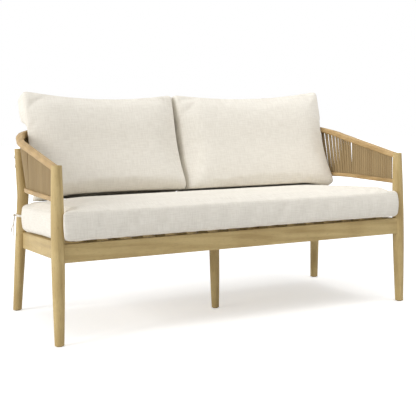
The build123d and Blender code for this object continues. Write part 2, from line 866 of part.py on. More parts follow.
with BuildPart() as back_upright:
    with BuildSketch(Plane.YZ.offset(back_upright_x - upright_w / 2)) as side_view:
        with BuildLine():
            Polyline(
                (strap_top.Y, strap_top.Z),
                (strap_knee.Y, strap_knee.Z),
                (rear_face_y, strap_rail_z),
                (rear_face_y, strap_foot_z),
                (rear_face_y + upright_t, strap_foot_z),
                (rear_face_y + upright_t, strap_rail_z),
                (strap_knee.Y + upright_t, strap_knee.Z),
                (strap_top.Y + upright_t, strap_top.Z),
                close=True,
            )
        make_face()
    extrude(amount=upright_w)
    for head, inward in right_screws[2:] + back_screws:
        cut_round(head - inward * upright_w, inward, upright_w * 2, small_screw_d + fit_gap * 2)

with BuildPart() as rail_screws:
    for head, inward in right_screws + back_screws:
        add_round(head - inward * fit_gap, inward, small_screw_l, small_screw_d)
        add_round(head - inward * (small_head_h + fit_gap), inward, small_head_h, small_head_d)
    mirror(about=Plane.YZ)


def bored(part, screws, joined=()):
    """A rail with pilot holes for its small screws and holes for its dowels."""
    with BuildPart() as rail:
        add(part)
        for head, inward in screws:
            cut_round(head, inward, small_screw_l + fit_gap, small_screw_d + fit_gap)
        for start, along, length in joined:
            cut_round(start, along, length, pin_d + fit_gap)
    return rail.part


def both_sides(screws):
    """Screws of the right half together with their mirror images."""
    return screws + [(flip(head, -1), flip(inward, -1)) for head, inward in screws]


def post_dowel(centre_of, post_d):
    """The start and heading of the dowel between a front post and a rail."""
    centre, heading = centre_of(0)
    along = (centre_of(1)[0] - centre).normalized()
    return centre - along * (top_start_back - post_d / 2 + pin_l * pin_in_share), along


post_dowels = [post_dowel(top_centre, post_top_d), post_dowel(low_centre, post_arm_d)]
dowel_room = [(start - along * fit_gap, along, pin_l + fit_gap * 2) for start, along in post_dowels]
arm_rail = bored(arm_rail, right_screws[1:2], dowel_room[:1])
lower_rail = bored(lower_rail, right_screws[:1], dowel_room[1:])
front_post = bored(front_post.part, [], dowel_room)
back_lower_rail = bored(back_lower_rail, both_sides(right_screws[2:3]))
back_top_rail = bored(back_top_rail, both_sides(right_screws[3:]))
rear_rail = bored(rear_rail, both_sides(back_screws))

with BuildPart() as arm_dowels:
    for start, along in post_dowels:
        add_round(start, along, pin_l, pin_d)
    mirror(about=Plane.YZ)

with BuildPart() as bored_rear_post:
    add(rear_post.part)
    for z in bolt_heights:
        start, toward, reach = bolt_line(z)
        cut_round(start, toward, reach * 2, bolt_d + fit_gap * 2)


# Cushions: outlines with drawn-in sides, lofted through their levels
def soft_outline(plane, low, high, draws, radii):
    """A face whose four sides bow inward and whose corners are round."""
    (x0, y0), (x1, y1) = low, high
    side, base, top = draws
    mid_x, mid_y = (x0 + x1) / 2, (y0 + y1) / 2
    with BuildSketch(plane) as face:
        with BuildLine():
            ThreePointArc((x0, y0), (mid_x, y0 + base), (x1, y0))
            ThreePointArc((x1, y0), (x1 - side, mid_y), (x1, y1))
            ThreePointArc((x1, y1), (mid_x, y1 - top), (x0, y1))
            ThreePointArc((x0, y1), (x0 + side, mid_y), (x0, y0))
        make_face()
        fillet(face.vertices().sort_by(Axis.Y)[-2:], radii[1])
        fillet(face.vertices().sort_by(Axis.Y)[:2], radii[0])
    return face.sketch


def crown_rise(inset):
    """The height of the seat cushion's crown at a distance in from its edge."""
    share = min((inset - seat_roll) / (seat_crown_reach - seat_roll), 1)
    return seat_crown * eased(share)


seat_levels = [(0, seat_roll), (seat_roll / 3, seat_roll / 3), (seat_roll, 0), (seat_t / 2, -seat_roll / 8),
               (seat_t - seat_roll, 0), (seat_t - seat_roll / 3, seat_roll / 3), (seat_t, seat_roll)]
for share in crown_shares:
    inset = seat_roll + (seat_crown_reach - seat_roll) * share
    seat_levels.append((seat_t + crown_rise(inset), inset))
seat_plane = Plane((0, 0, slat_top + soft_gap - seat_drop(0)), x_dir=(1, 0, 0), z_dir=(0, slope_tan, 1))


def seat_body(half_w, front, rear, front_r, rear_r):
    """A crowned slab with rolled edges, drawn through the seat's levels."""
    outlines = []
    for level, inset in seat_levels:
        grown = max(1 - inset / seat_crown_reach, seat_corner_share)
        outlines.append(soft_outline(
            seat_plane.offset(level),
            (-half_w + inset, front + inset),
            (half_w - inset, rear - inset),
            (seat_draw, seat_draw, seat_draw),
            (front_r * grown, rear_r * grown),
        ))
    with BuildPart() as body:
        loft(outlines, ruled=True)
    return body.part


# The seat cushion is notched at its corners and fills the room between the posts
with BuildPart() as seat_cushion:
    add(seat_body(seat_w / 2, seat_front, seat_rear, seat_corner_r, seat_rear_r))
    add(seat_body(seat_w / 2 + seat_wing_out, seat_front + seat_wing_front, seat_rear - seat_wing_rear,
                  seat_wing_r, seat_wing_r))


def room_outline(z, grown=0):
    """The plan of the room inside the rope back at a height, with a little clearance."""
    low_c = plan_point(low_toe, low_straight, low_radius, low_arc_end)[0] - Vector(0, low_radius, 0)
    top_c = plan_point(top_toe, top_straight, top_radius, top_arc_end)[0] - Vector(0, top_radius, 0)
    share = (z - low_back_z) / (top_back_z - low_back_z)
    centre = low_c + (top_c - low_c) * share
    low_r = low_radius - low_w / 2 - room_gap
    top_r = top_radius - top_back_w / 2 - room_gap
    r = low_r + (top_r - low_r) * share + grown
    diagonal = r / math.sqrt(2)
    with BuildSketch(Plane.XY.offset(z)) as plan:
        with BuildLine():
            Polyline((centre.X, centre.Y + r), (-overrun * 3, centre.Y + r), (-overrun * 3, front_y),
                     (centre.X + r, front_y), (centre.X + r, centre.Y))
            ThreePointArc((centre.X + r, centre.Y), (centre.X + diagonal, centre.Y + diagonal),
                          (centre.X, centre.Y + r))
        make_face()
    return plan.sketch


lean = math.radians(back_lean)
back_dir = Vector(0, -math.cos(lean), math.sin(lean))
back_plane = Plane((0, back_rear_y, back_base_z), x_dir=(1, 0, 0), z_dir=back_dir)
room_top_z = top_back_z + top_back_h / 2 + room_gap
with BuildPart() as room:
    loft([
        room_outline(back_base_z - overrun),
        room_outline(room_top_z),
        room_outline(room_top_z + room_flare_h, room_flare),
        room_outline(back_base_z + back_top + overrun * 3, room_flare),
    ], ruled=True)


def back_cushion(x0, x1):
    """A boxed cushion with crowned faces, its base flat on the seat, shaped to the curved corner."""
    faces = []
    reach = back_crown * 5
    depths = [(share * back_crown, inset * reach) for share, inset in back_level_shares]
    depths.append((back_t / 2, -back_roll / 4))
    depths += [(back_t - share * back_crown, inset * reach) for share, inset in reversed(back_level_shares)]
    for depth, inset in depths:
        base = -back_base_share * depth
        grown = max(1 - inset / reach, back_corner_share)
        faces.append(soft_outline(
            back_plane.offset(depth),
            (x0 + inset, base + min(inset, back_crown) / 3 + inset / 2),
            (x1 - inset, back_top - inset),
            (back_side_draw, back_base_draw, back_top_draw * grown),
            (back_corner_r * grown, back_corner_r * grown),
        ))
    with BuildPart() as cushion:
        loft(faces, ruled=True)
        add(room.part, mode=Mode.INTERSECT)
    return cushion.part


right_back_cushion = back_cushion(*right_cushion_x)
left_back_cushion = mirrored(back_cushion(-left_cushion_x[1], -left_cushion_x[0]))


# Ties: a tape round each rear post, knotted, with two hanging tails
tie_post = rear_axis(tie_z)
tie_ring = Plane(tie_post, z_dir=rear_axis_dir)
tie_out = Vector(1, tie_heading_share, 0).normalized()
tie_along = Vector(tie_out.Y, -tie_out.X, 0)
tie_inner_d = rear_d(tie_z) + tie_gap * 2
seat_corner = Vector(seat_w / 2 - seat_rear_r, seat_rear - seat_rear_r, tie_z)
tie_in = Vector(seat_corner.X - tie_post.X, seat_corner.Y - tie_post.Y, 0)
tape_l = tie_in.length - seat_rear_r - tie_gap * 4
knot_point = tie_post + tie_out * (tie_inner_d / 2 + tie_t + knot_d / 2 + tie_gap)

with BuildPart() as tie_strap:
    with Locations(tie_ring):
        Cylinder(tie_inner_d / 2 + tie_t, tie_h)
    tape_start = tie_post + tie_in.normalized() * tie_inner_d / 2
    with BuildSketch(Plane(tape_start, x_dir=(0, 0, 1), z_dir=tie_in)):
        Rectangle(tie_h, tie_t * 2)
    extrude(amount=tape_l - tie_inner_d / 2)
    with Locations(tie_ring):
        Cylinder(tie_inner_d / 2, tie_h * 2, mode=Mode.SUBTRACT)

with BuildPart() as tie_knot:
    with Locations(Plane(knot_point, x_dir=tie_along, z_dir=(0, 0, 1))):
        Box(knot_d, knot_d * knot_share, knot_d)
    chamfer(tie_knot.edges(), knot_d / 5)

tail_top = knot_point - Vector(0, 0, knot_d / 2 + tie_gap)


def tail(beside, steps):
    """A hanging tail through points given as shares of the step out of the post, along and down."""
    points = [tail_top + tie_along * (beside * tail_step)]
    for out, along, down in steps:
        points.append(points[-1] + tie_out * (out * tail_step) + tie_along * (along * tail_step)
                      - Vector(0, 0, down * tail_segment))
    radii = []
    for before, here, after in zip(points, points[1:], points[2:]):
        into, away = here - before, after - here
        turn = math.radians(into.get_angle(away))
        radii.append(bend_share * min(into.length, away.length) / math.tan(turn / 2))
    with BuildPart() as cord:
        with BuildLine() as path:
            FilletPolyline(*points, radius=radii)
        with BuildSketch(path.line ^ 0):
            Circle(tail_d / 2)
        sweep()
    print("tail radii", [round(r, 1) for r in radii], "length", round(path.wires()[0].length, 1))
    return cord.part


long_tail = tail(-tail_beside_share, long_tail_shares)
short_tail = tail(tail_beside_share, short_tail_shares)

# Every piece in its own file
save_pair(front_post, "front_post")
save_pair(bored_rear_post.part, "rear_post")
save(centre_leg.part, "centre_leg")
save(foot_glides.part, "foot_glides")
save(front_rail, "front_rail")
save(rear_rail, "rear_rail")
save_pair(side_rail.part, "side_rail")
save(centre_stretcher.part, "centre_stretcher")
save(front_cleat, "front_cleat")
save(rear_cleat, "rear_cleat")
save(seat_slats.part, "seat_slats")
save(frame_dowels.part, "frame_dowels")
save_pair(front_block, "front_corner_block")
save_pair(rear_block, "rear_corner_block")
save_pair(arm_rail, "arm_rail")
save(back_top_rail, "back_top_rail")
save_pair(lower_rail, "lower_rail")
save(back_lower_rail, "back_lower_rail")
save(rail_dowels.part, "rail_dowels")
save(arm_dowels.part, "arm_dowels")
save_pair(arm_rope, "arm_strands")
save_pair(corner_rope.part, "corner_strands")
save(back_rope.part, "back_strands")
save_pair(corner_upright.part, "corner_upright")
save_pair(back_upright.part, "back_upright")
save(post_spacers.part, "post_spacers")
save(post_bolts.part, "post_bolts")
save(post_nuts.part, "post_nuts")
save(rail_screws.part, "rail_screws")
save(seat_cushion.part, "seat_cushion")
save(left_back_cushion, "left_back_cushion")
save(right_back_cushion, "right_back_cushion")
save_pair(tie_strap.part, "tie_strap")
save_pair(tie_knot.part, "tie_knot")
save_pair(long_tail, "tie_long_tail")
save_pair(short_tail, "tie_short_tail")
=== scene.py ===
"""Patio loveseat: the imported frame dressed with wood, rope, linen and steel, in a plain studio."""

import json
import logging
import math
import random
from collections.abc import Callable, Iterable
from dataclasses import dataclass, field
from enum import Enum

import bmesh
import bpy
import numpy as np
from bmesh.types import BMesh, BMVert
from bpy.types import ID, Material, Node, NodeSocket, NodeTree, Object
from mathutils import Matrix, Vector, noise

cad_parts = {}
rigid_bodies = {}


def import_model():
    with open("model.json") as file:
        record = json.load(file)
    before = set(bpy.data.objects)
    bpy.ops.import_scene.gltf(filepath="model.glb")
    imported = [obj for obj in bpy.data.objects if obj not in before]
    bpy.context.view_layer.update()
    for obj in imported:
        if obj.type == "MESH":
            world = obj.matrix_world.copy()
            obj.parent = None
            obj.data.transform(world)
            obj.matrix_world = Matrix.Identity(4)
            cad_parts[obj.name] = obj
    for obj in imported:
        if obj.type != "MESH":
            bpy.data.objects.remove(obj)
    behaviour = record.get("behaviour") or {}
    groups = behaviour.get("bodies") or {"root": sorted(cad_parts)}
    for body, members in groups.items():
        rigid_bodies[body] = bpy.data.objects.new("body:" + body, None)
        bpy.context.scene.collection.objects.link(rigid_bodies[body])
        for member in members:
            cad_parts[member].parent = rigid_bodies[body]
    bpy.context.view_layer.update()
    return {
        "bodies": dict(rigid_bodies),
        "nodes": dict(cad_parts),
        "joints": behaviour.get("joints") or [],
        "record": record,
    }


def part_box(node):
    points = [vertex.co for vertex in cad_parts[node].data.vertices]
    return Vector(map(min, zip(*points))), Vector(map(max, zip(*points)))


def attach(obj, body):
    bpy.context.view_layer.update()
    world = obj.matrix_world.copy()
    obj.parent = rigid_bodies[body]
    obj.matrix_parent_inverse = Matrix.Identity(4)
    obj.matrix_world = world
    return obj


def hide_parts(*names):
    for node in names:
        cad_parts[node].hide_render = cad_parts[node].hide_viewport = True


LOG = logging.getLogger("loveseat")
MM = 0.001

Colour = tuple[float, float, float, float]
Pair = tuple[float, float]
Triple = tuple[float, float, float]
Shade = tuple[dict[str, object], NodeSocket]
WHITE: Colour = (1.0, 1.0, 1.0, 1.0)
ACROSS = Vector((1.0, 0.0, 0.0))

# Vertices nearer than this are joined.
WELD = 0.02 * MM

# A part of a cube's point beyond these lies on the cube's edge or face.
ON_EDGE = 0.999
ON_SEAM = 0.9999

# The cloth that a cushion's cover is simulated with.
CLOTH = {
    "quality": 5,
    "mass": 0.3,
    "tension_stiffness": 12.0,
    "compression_stiffness": 12.0,
    "shear_stiffness": 6.0,
    "bending_stiffness": 0.6,
    "vertex_group_mass": "sewn",
    "use_pressure": True,
    "uniform_pressure_force": 4.0,
    "shrink_min": -0.012,
}


class Body(Enum):
    """The moving bodies of the loveseat."""

    FRAME = "frame"
    LEFT_CUSHION = "left_back_cushion"
    RIGHT_CUSHION = "right_back_cushion"


class Slot(Enum):
    """The record's material slots."""

    WOOD = "frame_wood"
    ROPE = "rope"
    COVER = "cushion_cover"
    TAPE = "tie_tape"
    STEEL = "upright_steel"
    FASTENERS = "fasteners"
    GLIDES = "glides"


class GrainRun(Enum):
    """The way the grain runs: the axes with its own last, or none for a rail round the arm."""

    SIDEWAYS = (1, 2, 0)
    DEPTH = (0, 2, 1)
    UPRIGHT = (0, 1, 2)
    ROUND_ARM = ()


class Side(Enum):
    """The two halves of the loveseat."""

    LEFT = -1
    RIGHT = 1


def both(*names: str) -> tuple[str, ...]:
    """The left and the right node of each name."""
    return tuple(f"{side.name.lower()}_{name}" for name in names for side in Side)


def mm(*lengths: float) -> tuple[float, ...]:
    """Lengths in millimetres as metres."""
    return tuple(length * MM for length in lengths)


def clamped(value: float) -> float:
    """A value held between 0 and 1."""
    return min(max(value, 0.0), 1.0)


def eased(value: float) -> float:
    """A smooth step from 0 to 1."""
    share = clamped(value)
    return share * share * (3 - 2 * share)


def srgb(red: float, green: float, blue: float) -> Colour:
    """Turn a colour written in 0 to 255 steps into the linear values that a shader reads.

    Args:
        red: Red, from 0 to 255.
        green: Green, from 0 to 255.
        blue: Blue, from 0 to 255.

    Returns:
        The linear colour with a full alpha.
    """

    def linear(value: float) -> float:
        """Linear value of one channel."""
        share = value / 255
        return share / 12.92 if share <= 0.04045 else ((share + 0.055) / 1.055) ** 2.4

    return (linear(red), linear(green), linear(blue), 1.0)


# Node trees


@dataclass
class Shading:
    """A node tree with short ways to add and join nodes."""

    tree: NodeTree

    def add(self, kind: str, **settings: object) -> Node:
        """Add a node of a kind and set its properties."""
        made = self.tree.nodes.new(kind)
        for name, value in settings.items():
            setattr(made, name, value)
        return made

    def join(self, source: NodeSocket, target: NodeSocket) -> None:
        """Join an output to an input."""
        self.tree.links.new(source, target)

    def feed(self, target: NodeSocket, value: object) -> None:
        """Give an input a number, a tuple or another node's output."""
        if isinstance(value, NodeSocket):
            self.join(value, target)
        else:
            target.default_value = value

    def tune(self, node: Node, values: dict[str, object]) -> Node:
        """Feed several inputs of a node by their names, and give the node back."""
        for name, value in values.items():
            self.feed(node.inputs[name], value)
        return node

    def math(self, operation: str, first: object, second: object = 0.0, third: object = 0.0) -> NodeSocket:
        """The output of a Math node that is fed up to three values or outputs."""
        made = self.add("ShaderNodeMath", operation=operation)
        for socket, value in zip(made.inputs, (first, second, third)):
            self.feed(socket, value)
        return made.outputs[0]

    def times(self, first: object, second: object) -> NodeSocket:
        """The product of two values."""
        return self.math("MULTIPLY", first, second)

    def times_plus(self, first: object, second: object, third: object) -> NodeSocket:
        """The product of two values, plus a third."""
        return self.math("MULTIPLY_ADD", first, second, third)

    def wave(self, value: object, turns: float) -> NodeSocket:
        """The sine of a value times an angle."""
        return self.math("SINE", self.times(value, turns))

    def stretched(self, place: NodeSocket, scale: Triple) -> NodeSocket:
        """A place multiplied by a scale on each axis."""
        made = self.add("ShaderNodeVectorMath", operation="MULTIPLY")
        self.join(place, made.inputs[0])
        made.inputs[1].default_value = scale
        return made.outputs[0]

    def scaled(self, place: NodeSocket, scale: object) -> NodeSocket:
        """A place multiplied by one scale."""
        made = self.add("ShaderNodeVectorMath", operation="SCALE")
        self.join(place, made.inputs[0])
        self.feed(made.inputs["Scale"], scale)
        return made.outputs[0]

    def split(self, place: NodeSocket) -> list[NodeSocket]:
        """The three parts of a place."""
        made = self.add("ShaderNodeSeparateXYZ")
        self.join(place, made.inputs[0])
        return list(made.outputs)

    def noise(self, place: NodeSocket, scale: float, detail: float = 2.0, bend: float = 0.0) -> NodeSocket:
        """A noise pattern's value at a place."""
        made = self.add("ShaderNodeTexNoise", noise_dimensions="3D")
        values = {"Vector": place, "Scale": scale, "Detail": detail, "Distortion": bend}
        return self.tune(made, values).outputs["Fac"]

    def ramp(
        self, value: object, low: float, high: float, bottom: float = 0.0, top: float = 1.0
    ) -> NodeSocket:
        """A value mapped smoothly from the range low to high onto the range bottom to top."""
        made = self.add("ShaderNodeMapRange", interpolation_type="SMOOTHSTEP")
        values = {"Value": value, "From Min": low, "From Max": high, "To Min": bottom, "To Max": top}
        return self.tune(made, values).outputs["Result"]

    def blend(self, share: object, first: object, second: object, mode: str = "MIX") -> NodeSocket:
        """Two colours mixed by a share of the second."""
        made = self.add("ShaderNodeMix", data_type="RGBA", blend_type=mode)
        self.feed(made.inputs[0], share)
        self.feed(made.inputs[6], first)
        self.feed(made.inputs[7], second)
        return made.outputs[2]

    def attribute(self, name: str, output: str) -> NodeSocket:
        """An output of a mesh attribute."""
        return self.add("ShaderNodeAttribute", attribute_type="GEOMETRY", attribute_name=name).outputs[output]

    def object_place(self) -> NodeSocket:
        """The place on the object itself."""
        return self.add("ShaderNodeTexCoord").outputs["Object"]

    def group(self, shared: NodeTree, **inputs: object) -> Node:
        """Place a shared group and feed its inputs, named in small letters."""
        made = self.add("ShaderNodeGroup", node_tree=shared)
        return self.tune(made, {name.title(): value for name, value in inputs.items()})


def start_group(name: str, inputs: dict[str, str], outputs: Iterable[str]) -> tuple:
    """Make an empty shader group that several finishes can use.

    Args:
        name: The group's name.
        inputs: The kind of each input: Vector, Color or Float.
        outputs: The names of the outputs. Color is a colour and any other a value.

    Returns:
        The shading helper, the group's output node and the socket of each input.
    """
    tree = bpy.data.node_groups.new(name, "ShaderNodeTree")
    for title, kind in inputs.items():
        tree.interface.new_socket(title, in_out="INPUT", socket_type=f"NodeSocket{kind}")
    for title in outputs:
        kind = "Color" if title == "Color" else "Float"
        tree.interface.new_socket(title, in_out="OUTPUT", socket_type=f"NodeSocket{kind}")
    shading = Shading(tree)
    given = shading.add("NodeGroupInput").outputs
    return shading, shading.add("NodeGroupOutput"), *(given[title] for title in inputs)


class SharedEffects:
    """The shader groups of the loveseat, each built once."""

    def __init__(self) -> None:
        """Build every group."""
        self.grain = self._grain()
        self.weave = self._weave()
        self.braid = self._braid()
        self.grime = self._grime()

    @staticmethod
    def _grain() -> NodeTree:
        """Straight hardwood grain with fine fibres and short pores."""
        inputs = {"Place": "Vector", "Light": "Color", "Dark": "Color"}
        sh, out, place, light, dark = start_group("hardwood_grain", inputs, ("Color", "Rough", "Height"))
        bands = sh.add("ShaderNodeTexWave", wave_type="BANDS", bands_direction="DIAGONAL", wave_profile="SIN")
        sh.join(sh.stretched(place, (1.0, 0.7, 0.055)), bands.inputs["Vector"])
        sh.tune(bands, {"Scale": 26.0, "Distortion": 5.5, "Detail": 2.5, "Detail Scale": 1.4})
        broad = sh.noise(sh.stretched(place, (1.0, 1.0, 0.05)), 34.0, 3.0, 0.3)
        fibre = sh.noise(sh.stretched(place, (1.0, 1.0, 0.035)), 430.0)
        pores = sh.ramp(sh.noise(sh.stretched(place, (1.0, 1.0, 0.06)), 900.0, 1.0), 0.6, 0.7)
        broad_share = sh.ramp(broad, 0.3, 0.72, 0.0, 0.36)
        figure = sh.times_plus(sh.ramp(bands.outputs["Fac"], 0.15, 0.95), 0.26, broad_share)
        tone = sh.ramp(sh.times_plus(fibre, 0.42, figure), 0.2, 1.0)
        pore_colour = sh.blend(0.62, dark, (0.05, 0.025, 0.01, 1.0))
        colour = sh.blend(sh.times(pores, 0.3), sh.blend(tone, light, dark), pore_colour)
        rough = sh.times_plus(tone, -0.1, sh.times_plus(fibre, 0.14, 0.5))
        height = sh.times_plus(pores, -0.8, sh.times(fibre, 0.6))
        sh.tune(out, {"Color": colour, "Rough": rough, "Height": height})
        return sh.tree

    @staticmethod
    def _weave() -> NodeTree:
        """Plain weave with slubs, read from a place in metres on the cloth."""
        inputs = {"Place": "Vector", "Threads": "Float"}
        sh, out, place, threads = start_group("plain_weave", inputs, ("Tone", "Height"))
        across, along, _ = sh.split(sh.scaled(place, threads))
        warp, weft = sh.wave(across, math.pi), sh.wave(along, math.pi)
        over = sh.math("GREATER_THAN", sh.times(warp, weft), 0.0)
        raised = sh.times(sh.math("ABSOLUTE", warp), over)
        sunk = sh.times(sh.math("ABSOLUTE", weft), sh.math("SUBTRACT", 1.0, over))
        slub_across = sh.noise(sh.stretched(place, (26.0, 260.0, 1.0)), 1.0)
        slub_along = sh.noise(sh.stretched(place, (260.0, 26.0, 1.0)), 1.0)
        slubs = sh.math("ADD", slub_across, slub_along)
        height = sh.times_plus(slubs, 0.6, sh.math("ADD", raised, sunk))
        sh.tune(out, {"Tone": sh.ramp(slubs, 0.72, 1.28), "Height": height})
        return sh.tree

    @staticmethod
    def _braid() -> NodeTree:
        """The slanted plaits of a flat braided cord, meeting in its middle, with painted shade in the
        grooves.
        """
        inputs = {"Place": "Vector", "Width": "Float", "Plaits": "Float"}
        sh, out, place, width, plaits = start_group("flat_braid_groove_shade", inputs, ("Tone", "Height"))
        beside, along, _ = sh.split(place)
        across = sh.math("DIVIDE", sh.math("ABSOLUTE", beside), width)
        slanted = sh.times_plus(along, plaits, sh.times(across, 1.6))
        plait = sh.math("ABSOLUTE", sh.wave(slanted, math.pi))
        middle = sh.ramp(across, 0.0, 0.09)
        edge = sh.ramp(across, 0.36, 0.5, 1.0, 0.45)
        fuzz = sh.noise(sh.stretched(place, (900.0, 260.0, 900.0)), 1.0)
        height = sh.times(sh.times(plait, middle), edge)
        # Tone is the plaits' height plus a little fuzz: painted shade in the grooves between plaits, along
        # the middle line and at the edges.
        tone = sh.times_plus(height, 0.7, sh.times(fuzz, 0.3))
        sh.tune(out, {"Tone": tone, "Height": sh.times_plus(fuzz, 0.25, height)})
        return sh.tree

    @staticmethod
    def _grime() -> NodeTree:
        """Soft uneven patches of a surface that has been handled and stood outdoors."""
        inputs = {"Place": "Vector", "Scale": "Float"}
        sh, out, place, scale = start_group("soft_patches", inputs, ("Mask",))
        sh.tune(out, {"Mask": sh.ramp(sh.noise(sh.scaled(place, scale), 1.0, 3.0, 0.4), 0.34, 0.68)})
        return sh.tree


# Finishes


def begin_material(name: str) -> tuple[Material, Shading, Node]:
    """Start a material, with its shading helper and its Principled node."""
    material = bpy.data.materials.new(name)
    material.use_nodes = True
    return material, Shading(material.node_tree), material.node_tree.nodes["Principled BSDF"]


@dataclass(frozen=True)
class Finish:
    """A finish with one Principled shader and a relief of a strength and a depth in metres."""

    name: str
    relief: Pair

    def shade(self, sh: Shading, effects: SharedEffects) -> Shade:
        """The values of the shader's inputs, and the relief's height."""
        raise NotImplementedError

    def material(self, effects: SharedEffects) -> Material:
        """Build the finish.

        Args:
            effects: The shared shader groups.

        Returns:
            The material.
        """
        material, sh, shader = begin_material(self.name)
        values, height = self.shade(sh, effects)
        bump = sh.add("ShaderNodeBump")
        sh.tune(bump, {"Strength": self.relief[0], "Distance": self.relief[1], "Height": height})
        sh.tune(shader, values | {"Normal": bump.outputs["Normal"]})
        return material


@dataclass(frozen=True)
class WoodFinish(Finish):
    """Oiled light hardwood, a little redder where it was steamed and bent."""

    name: str = "oiled_hardwood"
    relief: Pair = (0.35, 0.4 * MM)
    light: Colour = srgb(200, 177, 125)
    dark: Colour = srgb(174, 149, 98)
    steamed: Colour = srgb(246, 236, 238)
    patch_scale: float = 9.0
    patch_share: float = 0.22

    def shade(self, sh: Shading, effects: SharedEffects) -> Shade:
        """Grain with faint patches, tinted on the bent rails."""
        place = sh.attribute("grain_place", "Vector")
        grain = sh.group(effects.grain, place=place, light=self.light, dark=self.dark).outputs
        patches = sh.group(effects.grime, place=place, scale=self.patch_scale).outputs["Mask"]
        colour = sh.blend(sh.times(patches, self.patch_share), grain["Color"], self.dark, "MULTIPLY")
        bent = sh.blend(1.0, colour, self.steamed, "MULTIPLY")
        colour = sh.blend(sh.attribute("steamed", "Fac"), colour, bent)
        values = {"Base Color": colour, "Roughness": grain["Rough"], "Specular IOR Level": 0.35}
        return values, grain["Height"]


@dataclass(frozen=True)
class RopeFinish(Finish):
    """Flat braided outdoor cord in a warm tan."""

    name: str = "braided_rope"
    relief: Pair = (0.7, 1.1 * MM)
    light: Colour = srgb(169, 146, 107)
    dark: Colour = srgb(134, 112, 77)
    width: float = 14.0 * MM
    plaits: float = 150.0

    def shade(self, sh: Shading, effects: SharedEffects) -> Shade:
        """Plaits with painted shade in their grooves, each strand in a tone of its own."""
        place = sh.attribute("strand_place", "Vector")
        braid = sh.group(effects.braid, place=place, width=self.width, plaits=self.plaits).outputs
        # The braid's tone holds painted shade in the grooves; the strand tone is random per strand.
        tone = sh.times_plus(braid["Tone"], 0.5, sh.times(sh.attribute("strand_tone", "Fac"), 0.5))
        colour = sh.blend(tone, self.dark, self.light)
        values = {"Base Color": colour, "Roughness": 0.85, "Specular IOR Level": 0.2, "Sheen Weight": 0.12}
        return values, braid["Height"]


@dataclass(frozen=True)
class LinenFinish(Finish):
    """Heathered off-white outdoor cloth with a seam stitched along each edge."""

    name: str = "heathered_linen"
    relief: Pair = (0.35, 0.6 * MM)
    light: Colour = srgb(243, 238, 227)
    dark: Colour = srgb(230, 224, 212)
    stitch_gap: float = 7.0 * MM
    stitch_pitch: float = 4.0 * MM
    threads: float = 900.0

    def shade(self, sh: Shading, effects: SharedEffects) -> Shade:
        """Weave, painted shade in the fold at each seam and a row of stitches beside it."""
        place = sh.attribute("cloth_place", "Vector")
        weave = sh.group(effects.weave, place=place, threads=self.threads).outputs
        tone = sh.times_plus(weave["Tone"], 0.75, 0.25)
        gap = sh.attribute("seam_gap", "Fac")
        beside = sh.math("ABSOLUTE", sh.math("SUBTRACT", gap, self.stitch_gap))
        run = sh.wave(sh.attribute("seam_run", "Fac"), 2 * math.pi / self.stitch_pitch)
        stitch = sh.times(sh.ramp(beside, 0.4 * MM, 1.1 * MM, 1.0, 0.0), sh.ramp(run, -0.5, 0.1))
        # Painted shade in the fold along each seam, also sunk into the relief.
        shaded_fold = sh.ramp(gap, 0.0, 2.2 * MM, 1.0, 0.0)
        shade = sh.times_plus(shaded_fold, -0.5, sh.times_plus(stitch, -0.35, tone))
        values = {
            "Base Color": sh.blend(sh.math("MAXIMUM", shade, 0.0), self.dark, self.light),
            "Roughness": sh.times_plus(weave["Tone"], -0.08, 0.92),
            "Specular IOR Level": 0.15,
            "Sheen Weight": 0.1,
            "Sheen Roughness": 0.6,
        }
        return values, sh.times_plus(shaded_fold, -2.0, sh.times_plus(stitch, -1.4, weave["Height"]))


@dataclass(frozen=True)
class TapeFinish(Finish):
    """The narrow cloth tape of the ties."""

    name: str = "tie_tape"
    relief: Pair = (0.4, 0.4 * MM)
    light: Colour = srgb(243, 239, 230)
    dark: Colour = srgb(198, 190, 176)
    threads: float = 1400.0

    def shade(self, sh: Shading, effects: SharedEffects) -> Shade:
        """A fine weave."""
        weave = sh.group(effects.weave, place=sh.object_place(), threads=self.threads).outputs
        colour = sh.blend(weave["Tone"], self.dark, self.light)
        return {"Base Color": colour, "Roughness": 0.9}, weave["Height"]


@dataclass(frozen=True)
class MetalFinish(Finish):
    """Painted or plated steel, or moulded plastic, with faint unevenness."""

    colour: Colour
    worn: Colour
    metallic: float
    roughness: float

    def shade(self, sh: Shading, effects: SharedEffects) -> Shade:
        """Soft worn patches over a fine grain."""
        place = sh.object_place()
        worn = sh.group(effects.grime, place=place, scale=45.0).outputs["Mask"]
        rough = sh.times_plus(worn, 0.15, self.roughness)
        colour = sh.blend(worn, self.colour, self.worn)
        values = {"Base Color": colour, "Roughness": rough, "Metallic": self.metallic}
        return values, sh.noise(place, 700.0)


def build_finishes() -> dict[Slot, Material]:
    """Build the shared groups and the material of every slot."""
    effects = SharedEffects()
    low = (0.15, 0.2 * MM)
    finishes = {
        Slot.WOOD: WoodFinish(),
        Slot.ROPE: RopeFinish(),
        Slot.COVER: LinenFinish(),
        Slot.TAPE: TapeFinish(),
        Slot.STEEL: MetalFinish("painted_steel", low, srgb(126, 108, 82), srgb(112, 95, 71), 0.0, 0.42),
        Slot.FASTENERS: MetalFinish("plated_steel", low, srgb(176, 176, 174), srgb(150, 150, 148), 1.0, 0.32),
        Slot.GLIDES: MetalFinish("moulded_glide", low, srgb(52, 49, 46), srgb(66, 63, 60), 0.0, 0.6),
    }
    return {slot: finish.material(effects) for slot, finish in finishes.items()}


# Mesh helpers


